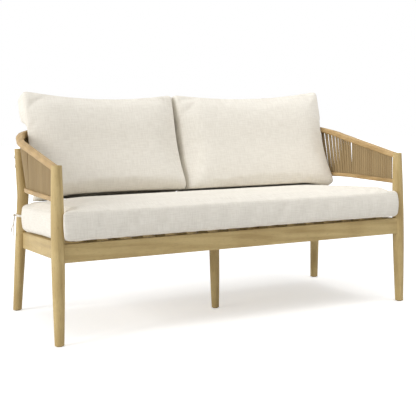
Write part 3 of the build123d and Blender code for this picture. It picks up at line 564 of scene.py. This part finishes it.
def islands(bm: BMesh) -> list[list[BMVert]]:
    """Split a mesh into its joined parts.

    Args:
        bm: The mesh.

    Returns:
        The vertices of each part.
    """
    seen: set[int] = set()
    found = []
    for start in bm.verts:
        if start.index in seen:
            continue
        seen.add(start.index)
        part, stack = [], [start]
        while stack:
            vert = stack.pop()
            part.append(vert)
            for edge in vert.link_edges:
                other = edge.other_vert(vert)
                if other.index not in seen:
                    seen.add(other.index)
                    stack.append(other)
        found.append(part)
    return found


def shade_smooth(bm: BMesh) -> None:
    """Shade every face smooth."""
    for face in bm.faces:
        face.smooth = True


def joined_copy(source: Object, sharp: float = 32.0) -> BMesh:
    """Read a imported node's loose triangles into one joined, smooth mesh.

    Args:
        source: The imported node.
        sharp: Angle in degrees past which an edge stays sharp.

    Returns:
        The joined mesh.
    """
    bm = bmesh.new()
    bm.from_mesh(source.data)
    bmesh.ops.remove_doubles(bm, verts=bm.verts, dist=WELD)
    shade_smooth(bm)
    for edge in bm.edges:
        edge.smooth = edge.is_manifold and edge.calc_face_angle(0.0) < math.radians(sharp)
    bm.verts.index_update()
    return bm


def put(name: str, data: ID) -> Object:
    """Put a mesh, curve, camera or lamp into the scene."""
    made = bpy.data.objects.new(name, data)
    bpy.context.scene.collection.objects.link(made)
    return made


def put_mesh(bm: BMesh, name: str, material: Material) -> Object:
    """Put a mesh into the scene with its material, and free its source."""
    mesh = bpy.data.meshes.new(name)
    bm.to_mesh(mesh)
    bm.free()
    mesh.materials.append(material)
    return put(name, mesh)


def declare(made: Object, slot: Slot, body: Body, *nodes: str) -> Object:
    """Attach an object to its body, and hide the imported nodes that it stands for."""
    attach(made, body.value)
    if nodes:
        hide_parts(*nodes)
    return made


def report(piece: Object) -> None:
    """Log a piece's name and size."""
    count = len(piece.data.polygons) if piece.type == "MESH" else len(piece.data.splines)
    LOG.info("%s: %d faces or splines", piece.name, count)


@dataclass
class Assembly:
    """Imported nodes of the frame's body, and the finishes to dress them with."""

    nodes: dict[str, Object]
    finishes: dict[Slot, Material]

    def piece(self, bm: BMesh, node: str, ending: str, slot: Slot) -> Object:
        """Turn a mesh into the dressed piece of a node."""
        return declare(put_mesh(bm, f"{node}_{ending}", self.finishes[slot]), slot, Body.FRAME, node)


# Wooden frame


@dataclass
class ArmLine:
    """The line in plan of a rail that runs back along an arm and turns the rear corner."""

    straight: float
    radius: float
    start: Vector = field(default_factory=lambda: Vector((0.69, -0.3521)))
    toe: float = 2.4

    def place(self, point: Vector, side: float) -> Pair:
        """Where a point lies along and across the rail.

        Args:
            point: The point.
            side: 1 on the right half, -1 on the left.

        Returns:
            The distance along the line, and the distance outward from it.
        """
        toe = math.radians(self.toe)
        offset = Vector((point.x * side - self.start.x, point.y - self.start.y))
        along = Vector((-math.sin(toe), math.cos(toe)))
        out = Vector((math.cos(toe), math.sin(toe)))
        run = offset.dot(along)
        if run <= self.straight:
            return run, offset.dot(out)
        spoke = offset - (along * self.straight - out * self.radius)
        turned = math.atan2(spoke.dot(along), spoke.dot(out))
        return self.straight + turned * self.radius, spoke.length - self.radius


@dataclass
class WoodFrame(Assembly):
    """The legs, rails, slats and joinery of hardwood."""

    top_line: ArmLine = field(default_factory=lambda: ArmLine(0.375, 0.255))
    low_line: ArmLine = field(default_factory=lambda: ArmLine(0.3, 0.265))
    seed: int = 31
    log_size: float = 4.0
    back_rails: tuple[str, ...] = ("back_top_rail", "back_lower_rail")
    arm_rails: tuple[str, ...] = both("arm_rail", "lower_rail")
    blocks: tuple[str, ...] = both("front_corner_block", "rear_corner_block")
    dowels: tuple[str, ...] = ("frame_dowels", "rail_dowels", "arm_dowels")

    def _grain_place(self, node: str, run: GrainRun, point: Vector) -> Vector:
        """A point's place across and along the grain.

        Args:
            node: The piece's node.
            run: The way its grain runs.
            point: The point.

        Returns:
            Across, across and along the grain, in metres.
        """
        if run is not GrainRun.ROUND_ARM:
            return Vector([point[axis] for axis in run.value])
        line = self.top_line if "arm_rail" in node else self.low_line
        along, out = line.place(point, -1.0 if node.startswith("left") else 1.0)
        return Vector((out, point.z, along))

    def _dress(self, node: str, run: GrainRun, chance: random.Random) -> Object:
        """Dress one node with grain of its own, each solid cut from its own place in the log.

        Args:
            node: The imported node.
            run: The way its grain runs.
            chance: Where the places in the log come from.

        Returns:
            The dressed piece.
        """
        bm = joined_copy(self.nodes[node])
        place = bm.verts.layers.float_vector.new("grain_place")
        steamed = bm.verts.layers.float.new("steamed")
        bent = float(node in self.arm_rails + self.back_rails)
        for part in islands(bm):
            shift = Vector([chance.uniform(-self.log_size, self.log_size) for _ in range(3)])
            for vert in part:
                vert[place] = self._grain_place(node, run, vert.co) + shift
                vert[steamed] = bent
        return self.piece(bm, node, "wood", Slot.WOOD)

    def build(self) -> list[Object]:
        """Dress every wooden node, with the way that the grain runs in each."""
        chance = random.Random(self.seed)
        runs = {
            GrainRun.SIDEWAYS: ("front_rail", "rear_rail", "front_cleat", "rear_cleat", *self.back_rails),
            GrainRun.DEPTH: (*both("side_rail"), "centre_stretcher", "seat_slats", *self.dowels),
            GrainRun.UPRIGHT: (*both("front_post", "rear_post"), "centre_leg", *self.blocks),
            GrainRun.ROUND_ARM: self.arm_rails,
        }
        return [self._dress(name, run, chance) for run, names in runs.items() for name in names]


# Rope


@dataclass
class RopeBack(Assembly):
    """The flat strands between the two rails."""

    seed: int = 7
    sharp: float = 60.0
    shades: Pair = (0.35, 1.0)
    start: float = 20.0 * MM
    names: tuple[str, ...] = (*both("arm_strands", "corner_strands"), "back_strands")

    @staticmethod
    def _axes(points: np.ndarray) -> tuple[np.ndarray, np.ndarray]:
        """The middle of a strand's points, and rows of its length, width and thickness directions."""
        middle = points.mean(0)
        _, vectors = np.linalg.eigh(np.cov((points - middle).T))
        return middle, vectors.T[::-1]

    def _dress(self, node: str, chance: random.Random) -> Object:
        """Dress the strands of one node.

        Args:
            node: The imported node.
            chance: Where the tones come from.

        Returns:
            The dressed piece.
        """
        bm = joined_copy(self.nodes[node], self.sharp)
        place = bm.verts.layers.float_vector.new("strand_place")
        tone = bm.verts.layers.float.new("strand_tone")
        for part in islands(bm):
            middle, axes = self._axes(np.array([vert.co for vert in part]))
            shade = chance.uniform(*self.shades)
            start = chance.uniform(0.0, self.start)
            for vert in part:
                along, across, deep = axes @ (np.array(vert.co) - middle)
                vert[place] = (across, along + start, deep)
                vert[tone] = shade
        return self.piece(bm, node, "rope", Slot.ROPE)

    def build(self) -> list[Object]:
        """Dress every group of strands."""
        chance = random.Random(self.seed)
        return [self._dress(name, chance) for name in self.names]


# Steel


@dataclass
class Hardware(Assembly):
    """The uprights, bolts, nuts, spacers, screws and glides."""

    uprights: tuple[str, ...] = both("corner_upright", "back_upright")
    fixings: tuple[str, ...] = ("post_bolts", "post_nuts", "post_spacers", "rail_screws")
    glides: tuple[str, ...] = ("foot_glides",)

    def build(self) -> list[Object]:
        """Dress every piece of hardware."""
        groups = {Slot.STEEL: self.uprights, Slot.FASTENERS: self.fixings, Slot.GLIDES: self.glides}
        return [
            self.piece(joined_copy(self.nodes[name]), name, "metal", slot)
            for slot, names in groups.items()
            for name in names
        ]


# Cushions


@dataclass
class RestPlane:
    """The sloping plane between the seat cushion and the back cushions."""

    level: float = 437.0 * MM
    rear: float = 241.5 * MM
    rise: float = 0.1116
    droop: float = 6.0 * MM
    droop_start: float = 500.0 * MM
    droop_reach: float = 120.0 * MM
    sink: float = 13.0 * MM
    sink_start: float = 530.0 * MM

    def drooped(self, x: float) -> float:
        """How far the plane has drooped at a place across, from 0 to 1."""
        return eased((-x - self.droop_start if x < 0 else x - self.sink_start) / self.droop_reach)

    def height(self, x: float, y: float) -> float:
        """The plane's height at a place. It droops at the seat cushion's left end and sinks at its right."""
        droop = self.droop if x < 0 else self.sink
        return self.level + self.rise * (self.rear - y) - droop * self.drooped(x)


@dataclass
class RopeRoom:
    """The room inside the rounded rear corner of the rope back, wider over and under the rope."""

    low_centre: Vector = field(default_factory=lambda: Vector((0.4378, 0.0021, 0.495)))
    top_centre: Vector = field(default_factory=lambda: Vector((0.4509, 0.0766, 0.716)))
    low_radius: float = 249.0 * MM
    top_radius: float = 235.5 * MM
    rail_top: float = 732.0 * MM
    overhang: float = 46.0 * MM
    overhang_rise: float = 7.0 * MM
    flare: float = 17.0 * MM
    flare_rise: float = 105.0 * MM
    under_rail: float = 470.0 * MM
    under_flare: float = 18.0 * MM
    under_drop: float = 14.0 * MM

    def keep_inside(self, point: Vector) -> Vector:
        """Move a point into the room if it lies outside the corner.

        Args:
            point: The point.

        Returns:
            The point, moved no further than needed.
        """
        share = (point.z - self.low_centre.z) / (self.top_centre.z - self.low_centre.z)
        centre = self.low_centre.lerp(self.top_centre, share)
        radius = self.low_radius + (self.top_radius - self.low_radius) * share
        over = point.z - self.rail_top
        radius += self.overhang * clamped(over / self.overhang_rise)
        radius += self.flare * clamped((over - self.overhang_rise) / self.flare_rise)
        radius += self.under_flare * clamped((self.under_rail - point.z) / self.under_drop)
        side = math.copysign(1.0, point.x)
        spoke = Vector((max(point.x * side - centre.x, 0.0), max(point.y - centre.y, 0.0)))
        if spoke.length <= radius:
            return point
        spoke *= radius / spoke.length
        x = side * (centre.x + spoke.x) if spoke.x > 0 else point.x
        y = centre.y + spoke.y if spoke.y > 0 else point.y
        return Vector((x, y, point.z))


@dataclass
class BoxCushion:
    """A boxed cushion: two crowned faces, a gusset between two seams, drawn-in sides, pinched corners.

    The cushion stands on its own axes: across, upward and outward from the face behind it. A pair
    holds the values at the left and the right, at the bottom and the top, or of the two faces.
    """

    node: str
    body: Body
    origin: Vector
    upward: Vector
    span: Pair
    rise: Pair
    seams: Pair
    crowns: Pair
    reaches: Pair
    rolls: Pair
    steepness: float
    side_draws: Pair
    low_draw: float
    top_draw: float
    corners: Pair
    bulge: float
    seed: float
    cuts: tuple[int, int, int]
    fit: Callable[[Vector], Vector]
    base_share: float = 0.0
    tuck: float = 0.0
    tuck_reach: float = 36.0 * MM
    wedge: float = 0.0
    wedge_reach: float = 220.0 * MM
    wing: float = 0.0
    wing_rows: Pair = (0.0, 0.0)
    wing_eases: Pair = mm(18, 26)
    front_flares: Pair = (0.0, 0.0)
    flare_row: float = 16.0 * MM
    end_power: int = 12
    top_drops: Pair = (0.0, 0.0)
    rear_square: float = 0.0
    slow_left: float = 0.0
    slow_share: float = 0.7
    pinch: float = 0.1
    pinch_power: int = 10
    crease: float = 0.35
    spread: float = 68.0
    soft: Triple = (7.0, 50.0 * MM, 3.0 * MM)
    pucker: Triple = (48.0, 30.0 * MM, 1.6 * MM)
    sewn: float = 0.5 * MM
    frames: int = 20
    cap: float = 9.0 * MM
    fill: float = 0.8

    def _spread(self, value: float) -> float:
        """A share from -1 to 1, moved so that rows lie closer near the seams."""
        angle = math.radians(self.spread)
        return math.sin(value * angle) / math.sin(angle)

    def _outline(self, u: float, v: float, c: float) -> Triple:
        """Lay a place of the square onto the cushion's rounded outline.

        Args:
            u: Share across, from -1 to 1.
            v: Share upward, from -1 to 1.
            c: Depth from the rear face.

        Returns:
            The place across and upward, and the distance in from the edge.
        """
        side = 0 if u < 0 else 1
        half_w = (self.span[1] - self.span[0]) / 2 - self.side_draws[side] * (1 - v * v)
        low = self.rise[0] - self.base_share * c + self.low_draw * (1 - u * u)
        high = self.rise[1] - self.top_draw * (1 - u * u)
        high = high - self.top_drops[0] * (1 - u) / 2 - self.top_drops[1] * (1 + u) / 2
        half_h = (high - low) / 2
        radius = self.corners[1]
        if v < 0:
            radius = self.corners[0] * (1 - self.rear_square * (1 - c / self.seams[1]))
        gap_a, gap_b = half_w * (1 - abs(u)), half_h * (1 - abs(v))
        inset = min(gap_a, gap_b)
        if gap_a < radius and gap_b < radius:
            lean_a, lean_b = 1 - gap_a / radius, 1 - gap_b / radius
            far = max(lean_a, lean_b)
            shrink = far / math.hypot(lean_a, lean_b)
            gap_a, gap_b = radius * (1 - lean_a * shrink), radius * (1 - lean_b * shrink)
            inset = radius * (1 - far)
        q = (low + high) / 2 + math.copysign(half_h - gap_b, v)
        swell = self._swollen(q, self.front_flares[side]) * abs(u) ** self.end_power
        return sum(self.span) / 2 + math.copysign(half_w - gap_a + swell, u), q, inset

    def _swollen(self, q: float, flare: float) -> float:
        """How far a row's end stands out, in the wing between the posts or the flare at the front post."""
        starts = eased((q - self.wing_rows[0]) / self.wing_eases[0])
        ends = eased((self.wing_rows[1] - q) / self.wing_eases[1])
        flared = eased((self.rise[0] + self.flare_row - q) / self.flare_row)
        return self.wing * (starts * ends) + flare * flared

    def _shape(self, corner: Vector) -> tuple[Vector, float]:
        """Lay a point of the cube onto the cushion.

        Args:
            corner: The cube's point, each part from -1 to 1.

        Returns:
            The point across, upward and outward, and its distance from the nearest seam.
        """
        u, v, w = self._spread(corner.x), self._spread(corner.y), corner.z
        low, high = self.seams
        front = (w + 1) / 2
        c = low + (high - low) * front
        p, q, inset = self._outline(u, v, c)
        lean = 1 - clamped((q - self.rise[0] + self.base_share * c) / self.tuck_reach)
        c -= self.tuck * (1 - math.sqrt(1 - lean * lean)) * front
        c += self.wedge * max(1 - (q - self.rise[0]) / self.wedge_reach, 0.0) ** 2 * front
        on_face = abs(w) > ON_EDGE
        if on_face:
            face = int(w > 0)
            reach, roll, crown = self.reaches[face], self.rolls[face], self.crowns[face]
            dome = 1 - (1 - min(inset / reach, 1.0)) ** self.steepness
            dome += self.slow_left * (1 - u) / 2 * (eased(inset / (self.slow_share * reach)) - dome)
            near = 1 - clamped(inset / roll)
            c += math.copysign(crown * dome + roll * math.sqrt(1 - near * near), w)
        else:
            swell = self.bulge * (1 - w * w)
            p += swell * u * (abs(corner.x) > ON_EDGE)
            q += swell * v * (abs(corner.y) > ON_EDGE)
        middle = (low + high) / 2
        c = middle + (c - middle) * (1 - self.pinch * (abs(u) * abs(v)) ** self.pinch_power)
        gap = inset if on_face else min(c - low, high - c)
        return Vector((p, q, c)), max(gap, 0.0)

    def _to_world(self, local: Vector) -> Vector:
        """A point across, upward and outward as a point of the loveseat."""
        outward = ACROSS.cross(self.upward)
        return self.origin + ACROSS * local.x + self.upward * local.y + outward * local.z

    def _wrinkled(self, local: Vector, distance: float) -> Vector:
        """A point's place in the loveseat, a little in or out for soft waves and puckers at the seams.

        Args:
            local: The point across, upward and outward.
            distance: Its distance from the nearest seam.

        Returns:
            The place.
        """
        spot = self._to_world(local)
        scale, reach, depth = self.soft
        step = noise.noise(spot * scale + ACROSS * self.seed) * min(distance / reach, 1.0) * depth
        scale, reach, depth = self.pucker
        gather = noise.noise(spot * scale + Vector((0.0, self.seed, 0.0))) * max(1.0 - distance / reach, 0.0)
        middle = Vector((sum(self.span) / 2, sum(self.rise) / 2, sum(self.seams) / 2))
        return self._to_world(local + (middle - local).normalized() * (step + abs(gather) * depth))

    def _mesh(self) -> BMesh:
        """Cut a cube into rows and lay it onto the cushion.

        Returns:
            The mesh, with its cloth place, seam distance and seam run.
        """
        bm = bmesh.new()
        bmesh.ops.create_cube(bm, size=2.0)
        for axis, cuts in enumerate(self.cuts):
            rows = [e for e in bm.edges if abs(e.verts[0].co[axis] - e.verts[1].co[axis]) > 0.5]
            bmesh.ops.subdivide_edges(bm, edges=rows, cuts=cuts, use_grid_fill=True)
        place = bm.loops.layers.float_vector.new("cloth_place")
        gap = bm.verts.layers.float.new("seam_gap")
        run = bm.verts.layers.float.new("seam_run")
        crease = bm.edges.layers.float.new("crease_edge")
        for edge in bm.edges:
            ends = [vert.co for vert in edge.verts]
            if all(abs(e.z) > ON_SEAM and max(abs(e.x), abs(e.y)) > ON_SEAM for e in ends):
                edge[crease] = self.crease
        cube = {vert: vert.co.copy() for vert in bm.verts}
        laid = {vert: self._shape(spot) for vert, spot in cube.items()}
        for face in bm.faces:
            flat, end = abs(face.normal.z) > 0.5, abs(face.normal.x) > 0.5
            first, second = (0, 1) if flat else (1, 2) if end else (0, 2)
            for loop in face.loops:
                local = laid[loop.vert][0]
                loop[place] = (local[first], local[second], 0.0)
        for vert, (local, distance) in laid.items():
            vert[gap] = distance
            vert[run] = local.y if abs(cube[vert].x) > abs(cube[vert].y) else local.x
            vert.co = self._wrinkled(local, distance)
        shade_smooth(bm)
        bmesh.ops.recalc_face_normals(bm, faces=bm.faces)
        return bm

    def _puff(self, cushion: Object) -> None:
        """Fill the cover with a short cloth simulation that leaves the seams where they are.

        Args:
            cushion: The cushion's object, which gets the simulated mesh.
        """
        rest = [vert.co.copy() for vert in cushion.data.vertices]
        gaps = cushion.data.attributes["seam_gap"].data
        pins = cushion.vertex_groups.new(name="sewn")
        pins.add([i for i, item in enumerate(gaps) if item.value < self.sewn], 1.0, "REPLACE")
        cloth = cushion.modifiers.new("filling", "CLOTH")
        for name, value in CLOTH.items():
            setattr(cloth.settings, name, value)
        cloth.settings.effector_weights.gravity = 0.0
        cloth.collision_settings.use_collision = False
        cloth.collision_settings.use_self_collision = False
        cloth.point_cache.frame_start = 1
        cloth.point_cache.frame_end = self.frames
        for frame in range(1, self.frames + 1):
            bpy.context.scene.frame_set(frame)
        graph = bpy.context.evaluated_depsgraph_get()
        puffed = bpy.data.meshes.new_from_object(cushion.evaluated_get(graph))
        cushion.modifiers.clear()
        cushion.vertex_groups.clear()
        cushion.data = puffed
        for vert, start in zip(puffed.vertices, rest):
            step = vert.co - start
            if step.length > self.cap:
                step *= self.cap / step.length
            vert.co = start + step
        bpy.context.scene.frame_set(1)

    def build(self, cloth: Material) -> Object:
        """Make, fill and fit the cushion in a cloth."""
        cushion = declare(put_mesh(self._mesh(), f"{self.node}_cover", cloth), Slot.COVER, self.body)
        self._puff(cushion)
        for vert in cushion.data.vertices:
            vert.co = self.fit(vert.co)
        rounded = cushion.modifiers.new("rounded", "SUBSURF")
        rounded.levels = rounded.render_levels = 1
        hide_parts(self.node)
        return cushion


@dataclass
class CushionSet:
    """The long seat cushion and the two back cushions of different width."""

    cloth: Material
    rest: RestPlane = field(default_factory=RestPlane)
    room: RopeRoom = field(default_factory=RopeRoom)
    slope: float = 2.2
    lean: float = 15.5
    seat_level: float = 333.2 * MM
    slat_top: float = 333.4 * MM
    slats_end: float = 605.0 * MM
    sag: float = 5.0 * MM
    sag_reach: float = 30.0 * MM
    pressed_above: float = 418.0 * MM
    pressed_end: float = 640.0 * MM
    seam_x: float = -39.0 * MM
    clearance: float = 1.2 * MM
    slot: float = 8.5 * MM
    slot_loss: float = 0.8
    belly: float = 0.7
    belly_x: float = -350.0 * MM
    belly_width: float = 600.0 * MM
    recess: float = 8.0 * MM
    tall: float = 420.0 * MM
    rest_start: float = 180.0 * MM
    rest_end: float = 262.0 * MM
    rest_ease: float = 35.0 * MM

    def _pressed(self, y: float) -> float:
        """How firmly the back cushions rest on the seat cushion at a depth, from 0 to 1."""
        return eased(min((y - self.rest_start) / self.rest_ease, (self.rest_end - y) / self.rest_ease))

    def _fit_seat(self, point: Vector) -> Vector:
        """Keep the seat cushion under the back cushions and over the slats."""
        top = self.rest.height(point.x, point.y) - self.clearance
        if point.z > self.pressed_above and abs(point.x) < self.pressed_end:
            point = Vector((point.x, point.y, point.z + (top - point.z) * self._pressed(point.y)))
        sag = self.sag * clamped((abs(point.x) - self.slats_end) / self.sag_reach)
        bottom = self.slat_top - math.tan(math.radians(self.slope)) * point.y - sag
        return Vector((point.x, point.y, min(max(point.z, bottom), top)))

    def _fit_back(self, side: Side) -> Callable[[Vector], Vector]:
        """Make the rule that keeps a back cushion in its room and bends its foot back.

        Args:
            side: Which cushion it is.

        Returns:
            The rule.
        """
        left = side is Side.LEFT
        deep, reach = mm(24, 50) if left else mm(12, 30)

        def fit(point: Vector) -> Vector:
            """Keep a point over the seat, off its neighbour and inside the rope."""
            held = self.room.keep_inside(point)
            bend = clamped(1 - (held.z - self.rest.height(held.x, held.y)) / reach)
            ahead = clamped((self.rest_end - held.y) / (3 * self.rest_ease))
            held = Vector((held.x, held.y + deep * (1 - math.sqrt(1 - bend * bend)) * ahead, held.z))
            lift = self.slot * clamped((self.rest_start + self.rest_ease - held.y) / self.rest_ease)
            lift *= 1 - self.slot_loss * self.rest.drooped(held.x)
            if left:
                hump = math.cos((held.x - self.belly_x) / self.belly_width * math.pi)
                lift *= 1 + self.belly * max(hump, 0.0)
            z = max(held.z, self.rest.height(held.x, held.y) + self.clearance + lift)
            gap = self.seam_x + side.value * self.clearance
            if left:
                return Vector((min(held.x, gap), held.y, z))
            middle = max(math.sin((z - self.rest.level) / self.tall * math.pi), 0.0)
            return Vector((max(held.x, gap + self.recess * middle), held.y, z))

        return fit

    def _seat(self) -> BoxCushion:
        """The seat cushion's sizes."""
        slope = math.radians(self.slope)
        return BoxCushion(
            node="seat_cushion",
            body=Body.FRAME,
            origin=Vector((0.0, 0.0, self.seat_level)),
            upward=Vector((0.0, math.cos(slope), -math.sin(slope))),
            span=mm(-662, 664),
            rise=mm(-362, 269),
            seams=mm(8, 94),
            crowns=mm(6, 18),
            reaches=mm(50, 260),
            rolls=mm(7, 8),
            steepness=2.0,
            side_draws=mm(2, 2),
            low_draw=2.0 * MM,
            top_draw=4.0 * MM,
            corners=mm(9, 70),
            bulge=2.0 * MM,
            seed=3.0,
            cuts=(76, 56, 6),
            fit=self._fit_seat,
            wing=29.0 * MM,
            wing_rows=mm(-301, 212),
            front_flares=mm(23, 10),
            slow_left=1.0,
            pinch=0.02,
            crease=0.0,
        )

    def _back(self, side: Side) -> BoxCushion:
        """The sizes of the back cushion on a side."""

        def pick(left: float | Pair, right: float | Pair) -> float | Pair:
            """The value of this side."""
            return left if side is Side.LEFT else right

        lean = math.radians(self.lean)
        name = f"{side.name.lower()}_back_cushion"
        return BoxCushion(
            node=name,
            body=Body(name),
            origin=Vector((0.0, self.rest.rear, self.rest.level)),
            upward=Vector((0.0, math.sin(lean), math.cos(lean))),
            span=pick(mm(-660, -42), mm(-34, 676)),
            rise=mm(pick(-6, -11), 408),
            seams=mm(30, 128),
            crowns=mm(18, 20),
            reaches=mm(125, 125),
            rolls=mm(5, 5),
            steepness=1.7,
            side_draws=mm(pick(2, 15), 3),
            low_draw=2.0 * MM,
            top_draw=26.0 * MM,
            corners=mm(pick(20, 27), 16),
            bulge=2.5 * MM,
            seed=pick(11.0, 23.0),
            cuts=(42, 38, 7),
            fit=self._fit_back(side),
            base_share=0.161,
            tuck=pick(50.0, 24.0) * MM,
            tuck_reach=pick(62.0, 32.0) * MM,
            wedge=pick(44.0, 31.0) * MM,
            top_drops=pick(mm(0, 17), mm(16, 0)),
            rear_square=1.0,
        )

    def build(self) -> list[Object]:
        """Make the three cushions."""
        cushions = (self._seat(), self._back(Side.LEFT), self._back(Side.RIGHT))
        return [cushion.build(self.cloth) for cushion in cushions]


# Ties


@dataclass(frozen=True)
class Tail:
    """How one tail of a tie hangs: steps are shares out of the leg, along it and of a drop."""

    name: str
    beside: float
    length: float
    steps: tuple[Triple, ...]


@dataclass
class CushionTies(Assembly):
    """The tapes round the rear legs, with a knot and two hanging tails on each."""

    knot_size: float = 13.0 * MM
    wrap_depth: float = 0.06
    wrap_turns: Pair = (9.0, 14.0)
    gap: float = 0.4 * MM
    tail_d: float = 4.0 * MM
    step: float = 8.0 * MM
    drop: float = 22.0 * MM
    heading: float = 0.48
    tails: tuple[Tail, ...] = (
        Tail("long", -0.35, 70.8 * MM, ((0.3, -0.25, 1.0), (1.5, -0.9, 0.9), (0.8, -1.2, 1.0))),
        Tail("short", 0.35, 74.0 * MM, ((0.1, 0.7, 1.1), (0.1, 0.2, 1.1), (-0.1, 0.8, 1.1))),
    )

    def _knot(self, node: str) -> Object:
        """A rounded knot with a few wraps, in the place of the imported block."""
        low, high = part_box(node)
        middle, size = (low + high) / 2, high - low
        bm = bmesh.new()
        bmesh.ops.create_icosphere(bm, subdivisions=4, radius=0.5)
        for vert in bm.verts:
            turn, y = math.atan2(vert.co.z, vert.co.x), vert.co.y
            wraps = math.sin(turn * 2 + y * self.wrap_turns[0]) * math.sin(y * self.wrap_turns[1] + turn)
            vert.co *= 1 - self.wrap_depth + self.wrap_depth * wraps
            vert.co = middle + vert.co * size
        shade_smooth(bm)
        return self.piece(bm, node, "wrapped", Slot.TAPE)

    def _tail(self, node: str, top: Vector, side: float, tail: Tail) -> Object:
        """A hanging tail.

        Args:
            node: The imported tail.
            top: The point under the knot.
            side: 1 on the right half, -1 on the left.
            tail: How it hangs.

        Returns:
            The tail's curve.
        """
        out = Vector((1.0, self.heading, 0.0)).normalized()
        along = Vector((out.y, -out.x, 0.0))
        out.x *= side
        along.x *= side
        points = [top + along * (tail.beside * self.step)]
        for away, beyond, down in tail.steps:
            step = points[-1] + out * (away * self.step) + along * (beyond * self.step)
            points.append(step - Vector((0.0, 0.0, down * self.drop)))
        curve = bpy.data.curves.new(f"{node}_tape", "CURVE")
        curve.dimensions = "3D"
        curve.bevel_depth = self.tail_d / 2
        curve.bevel_resolution = 4
        curve.use_fill_caps = True
        spline = curve.splines.new("NURBS")
        spline.points.add(len(points) - 1)
        for spot, point in zip(spline.points, points):
            spot.co = (*point, 1.0)
        spline.order_u = 3
        spline.use_endpoint_u = True
        spline.resolution_u = 12
        curve.materials.append(self.finishes[Slot.TAPE])
        made = declare(put(f"{node}_tape", curve), Slot.TAPE, Body.FRAME, node)
        return made

    def build(self) -> list[Object]:
        """Make the straps, knots and tails of both rear legs."""
        made = []
        for side in Side:
            tie = f"{side.name.lower()}_tie"
            strap = joined_copy(self.nodes[f"{tie}_strap"])
            made.append(self.piece(strap, f"{tie}_strap", "tape", Slot.TAPE))
            low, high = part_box(f"{tie}_knot")
            top = (low + high) / 2 - Vector((0.0, 0.0, self.knot_size / 2 + self.gap))
            made.append(self._knot(f"{tie}_knot"))
            for tail in self.tails:
                made.append(self._tail(f"{tie}_{tail.name}_tail", top, side.value, tail))
        return made


# Studio


@dataclass
class Studio:
    """The pale floor, the soft light and the camera at the photograph's angle."""

    camera_place: Vector = field(default_factory=lambda: Vector((-1.38, -2.8955, 0.701)))
    azimuth: float = -25.65
    elevation: float = 5.53
    roll: float = -1.08
    lens: float = 69.94
    sensor: float = 36.0
    world_level: float = 0.39
    floor_half: float = 40.0
    floor_grey: Colour = (0.93, 0.93, 0.93, 1.0)
    glow: Pair = (0.44, 1.0)
    glow_reach: Pair = (1.2, 5.0)
    aim: Triple = (0.0, 0.0, 0.45)
    lamps: tuple[tuple[str, Triple, float, float], ...] = (
        ("side_window", (-7.5, -0.9, 3.0), 4.0, 370.0),
        ("ceiling", (0.0, 0.0, 4.4), 4.0, 70.0),
        ("right_fill", (0.95, -0.85, 1.75), 0.9, 8.5),
    )

    def _camera(self) -> None:
        """Place the camera."""
        a, e, r = (math.radians(angle) for angle in (self.azimuth, self.elevation, self.roll))
        view = Vector((-math.sin(a) * math.cos(e), math.cos(a) * math.cos(e), -math.sin(e)))
        right = Vector((math.cos(a), math.sin(a), 0.0))
        up = right.cross(view)
        level_right = right * math.cos(r) + up * math.sin(r)
        level_up = up * math.cos(r) - right * math.sin(r)
        data = bpy.data.cameras.new("camera")
        data.lens = self.lens
        data.sensor_width = self.sensor
        camera = put("camera", data)
        turn = Matrix((level_right, level_up, -view)).transposed().to_4x4()
        camera.matrix_world = Matrix.Translation(self.camera_place) @ turn
        bpy.context.scene.camera = camera

    def _floor(self) -> None:
        """Lay the floor, which the camera sees paler than the light makes it."""
        bm = bmesh.new()
        bmesh.ops.create_grid(bm, x_segments=1, y_segments=1, size=self.floor_half)
        material, sh, shader = begin_material("floor_paper")
        rays = sh.add("ShaderNodeLightPath").outputs
        seen = sh.math("MAXIMUM", rays["Is Camera Ray"], rays["Is Glossy Ray"])
        away = sh.add("ShaderNodeVectorMath", operation="LENGTH")
        sh.join(sh.object_place(), away.inputs[0])
        glow = sh.times(seen, sh.ramp(away.outputs["Value"], *self.glow_reach, *self.glow))
        values = {"Base Color": self.floor_grey, "Roughness": 1.0, "Specular IOR Level": 0.0}
        sh.tune(shader, values | {"Emission Color": WHITE, "Emission Strength": glow})
        floor = put_mesh(bm, "studio_floor", material)

    def _world(self) -> None:
        """Light the studio from all round, white to the camera."""
        world = bpy.data.worlds.new("studio")
        world.use_nodes = True
        sh = Shading(world.node_tree)
        world.node_tree.nodes.clear()
        rays = sh.add("ShaderNodeLightPath").outputs
        through = sh.math("MAXIMUM", rays["Is Glossy Ray"], rays["Is Transmission Ray"])
        seen = sh.math("MAXIMUM", rays["Is Camera Ray"], through)
        strength = sh.ramp(seen, 0.0, 1.0, self.world_level, 1.0)
        back = sh.tune(sh.add("ShaderNodeBackground"), {"Color": WHITE, "Strength": strength})
        sh.tune(sh.add("ShaderNodeOutputWorld"), {"Surface": back.outputs[0]})
        bpy.context.scene.world = world

    def _lights(self) -> None:
        """Hang the soft lamps and turn them to the seat."""
        for name, place, size, energy in self.lamps:
            data = bpy.data.lights.new(name, "AREA")
            data.shape = "SQUARE"
            data.size = size
            data.energy = energy
            lamp = put(name, data)
            lamp.location = place
            lamp.rotation_euler = (Vector(self.aim) - Vector(place)).to_track_quat("-Z", "Y").to_euler()

    def build(self) -> None:
        """Set the studio up."""
        self._camera()
        self._floor()
        self._world()
        self._lights()
        bpy.context.scene.view_settings.view_transform = "Standard"


def main() -> None:
    """Build the loveseat and its studio."""
    logging.basicConfig(level=logging.INFO, format="%(name)s: %(message)s")
    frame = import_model()
    finishes = build_finishes()
    nodes = frame["nodes"]
    for assembly in (
        WoodFrame(nodes, finishes),
        RopeBack(nodes, finishes),
        Hardware(nodes, finishes),
        CushionSet(finishes[Slot.COVER]),
        CushionTies(nodes, finishes),
    ):
        for piece in assembly.build():
            report(piece)
    Studio().build()
    bpy.context.view_layer.update()


if __name__ == "__main__":
    main()
